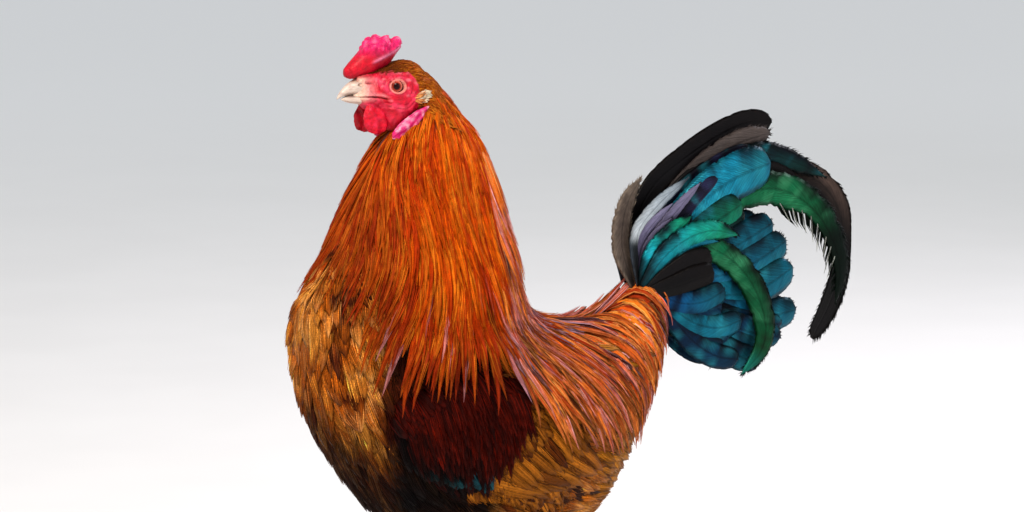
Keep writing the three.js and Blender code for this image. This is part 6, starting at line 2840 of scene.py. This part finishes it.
@dataclass(frozen=True)
class Leg:
    """A scaled shank with spur, pad, toes and claws."""

    # The pad's outline: shares of its radius, and heights in mm.
    PAD = (
        (0.2, 0), (0.8, 0), (0.93, 1.2), (0.99, 4), (0.98, 7.5), (0.9, 11.5), (0.72, 15.5), (0.45, 18.4),
        (0.1, 18.9),
    )

    side: Side
    radius: float = 7.4
    pad_radius: float = 11.5

    def place(self, p: Sequence[float]) -> Array:
        """A point brought to this side."""
        return np.array(p, float) * np.array([self.side.value, 1, 1])

    def out(self, toe: Toe, reach: Array) -> Array:
        """Points on the floor along a toe's heading.

        Args:
            toe: the toe.
            reach: distances from the foot's middle.

        Returns:
            The points.
        """
        a = math.radians(toe.heading)
        ahead = np.array([self.side.value * math.sin(a), -math.cos(a), 0])
        return self.place((FOOT[0], FOOT[1], 0)) + ahead * reach[:, None]

    def shank(self, material: Material) -> None:
        """Makes the shank: broad scutes in front, small scales behind, and the pad under it.

        Args:
            material: its material.
        """
        hock, foot = self.place(HOCK), self.place(FOOT)
        count, sides = 240, 44
        t = np.linspace(0, 1, count)[:, None]
        line = hock + (foot - hock) * t * 1.02
        line[:, 2] = np.minimum(line[:, 2], 123.5)
        a = turns(sides)[None, :]
        swell = 1 + 0.3 * bell(t, 0.12) + 0.3 * bell(1 - t, 0.14)
        # The rings' first axis is x; with the line running down, their second axis faces the rear.
        front = smooth(0.25, 0.75, -np.sin(a))
        plate = (t * 15 + 0.08 * np.cos(2 * a)) % 1
        scute = 0.62 * (1 - plate) ** 0.6 - 0.25 * bell(plate - 0.96, 0.04)
        lattice = np.abs(np.sin(t * 92 + a * 5)) * np.abs(np.sin(t * 92 - a * 5))
        radii = self.radius * swell + front * scute + (1 - front) * 0.4 * np.sqrt(lattice) - 0.4
        whole = wrapped(swept(line, radii, sides))
        gather(whole, wrapped(self.pad(sides)))
        node = f"shank_{self.side.word}"
        solid(f"{node}_scales", whole, self.tint, material, "scale", node)

    def pad(self, sides: int) -> Array:
        """Makes the pad under the shank.

        Args:
            sides: how many sides its rings have.

        Returns:
            Its rings.
        """
        rows = np.linspace(0, 1, 40)
        profile = np.array(self.PAD, float)
        r, z = read(rows, np.linspace(0, 1, len(profile)), profile).T[:, :, None]
        a = turns(sides)[None, :]
        bumps = 1 - 0.03 * np.abs(np.sin(a * 9)) * np.abs(np.sin(z * 0.9))
        radius = r * self.pad_radius * bumps
        points = np.stack([radius * np.cos(a), radius * np.sin(a), z + 0 * a], -1)
        return points + self.place((FOOT[0], FOOT[1], 0))

    @staticmethod
    def tint(p: Array) -> Array:
        """Yellow scales, paler low down and darker between.

        Args:
            p: the points.

        Returns:
            Linear colours.
        """
        return layered(
            colour("cfa03a"),
            ("b97f2a", smooth(-0.3, 0.8, waves(p, 20, 91, 6))),
            ("d9bd7a", 0.5 * smooth(20, 4, p[:, 2])),
            ("7a4a20", 0.35 * smooth(0.2, 0.9, waves(p, 3.5, 92, 8))),
        )

    def toe(self, toe: Toe, material: Material) -> None:
        """Makes a toe with scutes on top and pads below.

        Args:
            toe: which toe.
            material: its material.
        """
        count, sides, begin = 120, 32, 9.5
        t = np.linspace(0, 1, count)
        line = self.out(toe, begin + (toe.length - begin) * t)
        line[:, 2] = toe.radius * (0.96 - 0.34 * t)
        t = t[:, None]
        b = turns(sides)[None, :]
        knuckle = 0.5 * np.cos(t * 2 * math.pi * toe.joints * 0.5)
        radius = toe.radius * (1 - 0.34 * t) + knuckle - 0.15
        up = smooth(0.1, 0.6, np.sin(b))
        plate = (t * round(toe.length / 5.2)) % 1
        scute = 0.45 * (1 - plate) ** 0.6 - 0.2 * bell(plate - 0.95, 0.05)
        beads = 0.3 * np.abs(np.sin(t * toe.length * 0.8)) * np.abs(np.sin(3 * b))
        radius = radius + up * scute + (1 - up) * beads - 0.25
        close = np.sqrt(np.clip(np.minimum(1.0, (1 - t) * 14 + 0.06), 0, 1))
        node = f"toe_{self.side.word}_{toe.name}"
        shape = wrapped(swept(line, radius * close, sides, floor=0.0))
        solid(f"{node}_scales", shape, self.tint, material, "scale", node)

    def claw(self, toe: Toe, material: Material) -> None:
        """Makes a claw that curves down to the floor.

        Args:
            toe: the toe that it ends.
            material: its material.
        """
        sides = 28
        t = np.linspace(0, 1, 40)
        r = toe.radius * 0.5
        line = self.out(toe, toe.length + 0.4 + 15 * np.sin(t * 1.2) * 0.93)
        line[:, 2] = np.maximum(r + 0.9 - (r + 0.4) * t**2 * 0.77 + 1.1 * np.sin(t * math.pi), 0.5)
        radii = (r * (1 - t) ** 0.7 + 0.12)[:, None] * (1 + 0.03 * np.cos(3 * turns(sides)))[None, :]
        node = f"claw_{self.side.word}_{toe.name}"
        shape = wrapped(swept(line, radii * 0.92, sides, floor=0.2))
        solid(f"{node}_horn", shape, partial(plain, 0.8), material, "claw", node)

    def spur(self, material: Material) -> None:
        """Makes the spur on the shank's inner rear.

        Args:
            material: its material.
        """
        s = self.side.value
        hock, foot = self.place(HOCK), self.place(FOOT)
        sides = 30
        t = (HOCK[2] - 62) / (HOCK[2] - FOOT[2])
        base = hock + (foot - hock) * t + np.array([-s * 3, 3, 0])
        share = np.linspace(0, 1, 44)
        line = base + unit(np.array([-s * 0.62, 0.72, -0.05])) * 23.4 * share[:, None]
        line[:, 2] += 3.8 * share**2
        radius = np.interp(share, (0, 0.33, 0.66, 1), (4.5, 3.8, 2.6, 0.5)) * (1 + 0.03 * np.sin(share * 30))
        radii = radius[:, None] * (1 + 0.02 * np.cos(5 * turns(sides)))[None, :]
        node = f"spur_{self.side.word}"
        solid(f"{node}_horn", wrapped(swept(line, radii, sides)), partial(plain, 0.9), material, "claw", node)

    def build(self, scale: Material, horn: Material) -> None:
        """Makes the leg.

        Args:
            scale: the scales' material.
            horn: the claws' material.
        """
        self.shank(scale)
        self.spur(horn)
        for toe in TOES:
            self.toe(toe, scale)
            self.claw(toe, horn)


# ------------------------------------------------------------ studio


@dataclass(frozen=True)
class Lamp:
    """An area light that faces the bird: its name, place and width in metres, watts and colour."""

    name: str
    place: tuple[float, float, float]
    width: float
    power: float
    tint: str

    def build(self) -> None:
        """Hangs the light."""
        data = bpy.data.lights.new(self.name, "AREA")
        data.shape, data.size, data.energy = "DISK", self.width, self.power
        data.color = tuple(colour(self.tint))
        lamp = bpy.data.objects.new(self.name, data)
        lamp.location = self.place
        lamp.rotation_euler = (Vector((0, 0, 0.32)) - Vector(self.place)).to_track_quat("-Z", "Y").to_euler()
        bpy.context.scene.collection.objects.link(lamp)


@dataclass(frozen=True)
class Studio:
    """Floor, lights, sky and camera. The camera's place is to its right, up and back, in millimetres."""

    azimuth: float = 62
    elevation: float = 8
    place: tuple[float, float, float] = (25.5, 433.7, 2944.7)
    focal: float = 3220
    image_width: float = 1024
    sensor: float = 36
    sky: tuple[str, float] = ("dfe3e8", 0.86)
    lamps: tuple[Lamp, ...] = (
        Lamp("key", (1.5, -1.7, 2.6), 1.0, 88, "fff4e6"),
        Lamp("fill", (2.8, 1.0, 1.2), 2.2, 16, "f6f4ff"),
        Lamp("rim", (-0.6, 2.0, 2.2), 1.2, 46, "f6f2ff"),
    )

    def floor(self, effects: Effects) -> None:
        """Lays the pale floor.

        Args:
            effects: the shared node groups.
        """
        bm = bmesh.new()
        bmesh.ops.create_grid(bm, x_segments=24, y_segments=24, size=30)
        floor = meshed("floor", bm)
        floor.data.materials.append(Ground("studio_floor", effects).build())

    def surround(self) -> None:
        """Sets the pale surroundings."""
        world = bpy.data.worlds.new("studio")
        world.use_nodes = True
        shade = world.node_tree.nodes["Background"]
        shade.inputs["Color"].default_value = rgba(self.sky[0])
        shade.inputs["Strength"].default_value = self.sky[1]
        bpy.context.scene.world = world

    def camera(self) -> None:
        """Sets the camera."""
        a, e = math.radians(self.azimuth), math.radians(self.elevation)
        right = Vector((math.cos(a), math.sin(a), 0))
        back = Vector((math.sin(a) * math.cos(e), -math.cos(a) * math.cos(e), math.sin(e)))
        up = back.cross(right)
        spot = right * self.place[0] + up * self.place[1] + back * self.place[2]
        data = bpy.data.cameras.new("view")
        data.sensor_width = self.sensor
        data.lens = self.focal * self.sensor / self.image_width
        data.clip_end = 100
        camera = bpy.data.objects.new("view", data)
        basis = Matrix((right, up, back)).transposed().to_4x4()
        camera.matrix_world = Matrix.Translation(Vector(metres(np.array(spot)))) @ basis
        bpy.context.scene.collection.objects.link(camera)
        bpy.context.scene.camera = camera

    def build(self, effects: Effects) -> None:
        """Sets up the studio.

        Args:
            effects: the shared node groups.
        """
        self.floor(effects)
        for lamp in self.lamps:
            lamp.build()
        self.surround()
        self.camera()
        bpy.context.scene.view_settings.view_transform = "Standard"


# ------------------------------------------------------------ the whole bird


@dataclass(frozen=True)
class Rooster:
    """The whole bird, built in order."""

    effects: Effects

    def build(self) -> None:
        """Builds every piece and reports it."""
        forms = Forms.build()
        skin = Skin(forms)
        skin.build(Flesh("bare_skin", self.effects).build())
        cape = self.plumage("cape_feathers", 46, 0.25, 0.5, 0.5, streak=0.3, clump=0.2, specular=0.06)
        body = self.plumage("body_feathers", 16, 0.5, 0.35, 0.75, specular=0.05)
        wings = self.plumage("wing_feathers", 26, 0.45, 0.5, 0.55, streak=0.3, specular=0.05)
        tail = self.plumage("tail_feathers", 70, 0.16, 0.55, 0.4, clump=0.45, shaft=0.35, roughness=0.36)
        Hackle(forms, skin, 11).build(cape)
        Trunk(forms, skin, 12).build(body)
        Saddle(forms, skin, 13).build(cape)
        for side in Side:
            Wing(forms, skin, 14, side).build(wings)
        Tail(forms, skin, 16).build(tail)
        Crown(forms, skin, 17).build(body)
        self.face()
        scales = Flesh("leg_scales", self.effects, 700, 0.4, 0.0003, 0.45, 0.1, 0.05).build()
        horn = Horn("claw_horn", self.effects).build()
        for side in Side:
            Leg(side).build(scales, horn)

    def plumage(self, name: str, *looks: float, **more: float) -> Material:
        """Makes a feather material."""
        return Plumage(name, self.effects, *looks, **more).build()

    def face(self) -> None:
        """Builds comb, wattles, lobes, beak and eyes."""
        fold = Flesh("red_folds", self.effects, 1100, 0.6, 0.0005, 0.45, 0.05, 0.12).build()
        lobe = Flesh("lobe_skin", self.effects, 1000, 0.5, 0.0004, 0.36, 0.3, 0.15).build()
        horn = Horn("beak_horn", self.effects, "cdbcae", "b4968a").build()
        wet = Wet("wet_eye", self.effects).build()
        Comb().build(fold)
        # The right wattle's tones are darker: painted shade on the far side.
        reds_with_painted_far_shade = {Side.LEFT: ("ee2a50", "d40426", "8c0212"), Side.RIGHT: ("c40c26", "a20418", "8c0212")}
        pinks = ("ffc8dc", "e62078", "a00c44")
        wattle = ((9.5, -111, 569), (4, 12, 15.5), 0.16, 0.12)
        earlobe = ((19.5, -81.5, 563.5), (3.6, 6.6, 22), -0.1, -0.9)
        for side, tones in reds_with_painted_far_shade.items():
            Drop(f"wattle_{side.word}", "comb", side, *wattle, tones).build(fold)
            Drop(f"earlobe_{side.word}", "lobe", side, *earlobe, pinks).build(lobe)
        Beak("beak_upper", UPPER_BEAK).build(horn)
        Beak("beak_lower", LOWER_BEAK).build(horn)
        for side in Side:
            Eye(side).build(wet)


def main() -> None:
    """Builds the bird and its studio."""
    logging.basicConfig(level=logging.INFO, format="%(name)s %(message)s")
    effects = Effects.build()
    Rooster(effects).build()
    Studio().build(effects)
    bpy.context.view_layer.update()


if __name__ == "__main__":
    main()
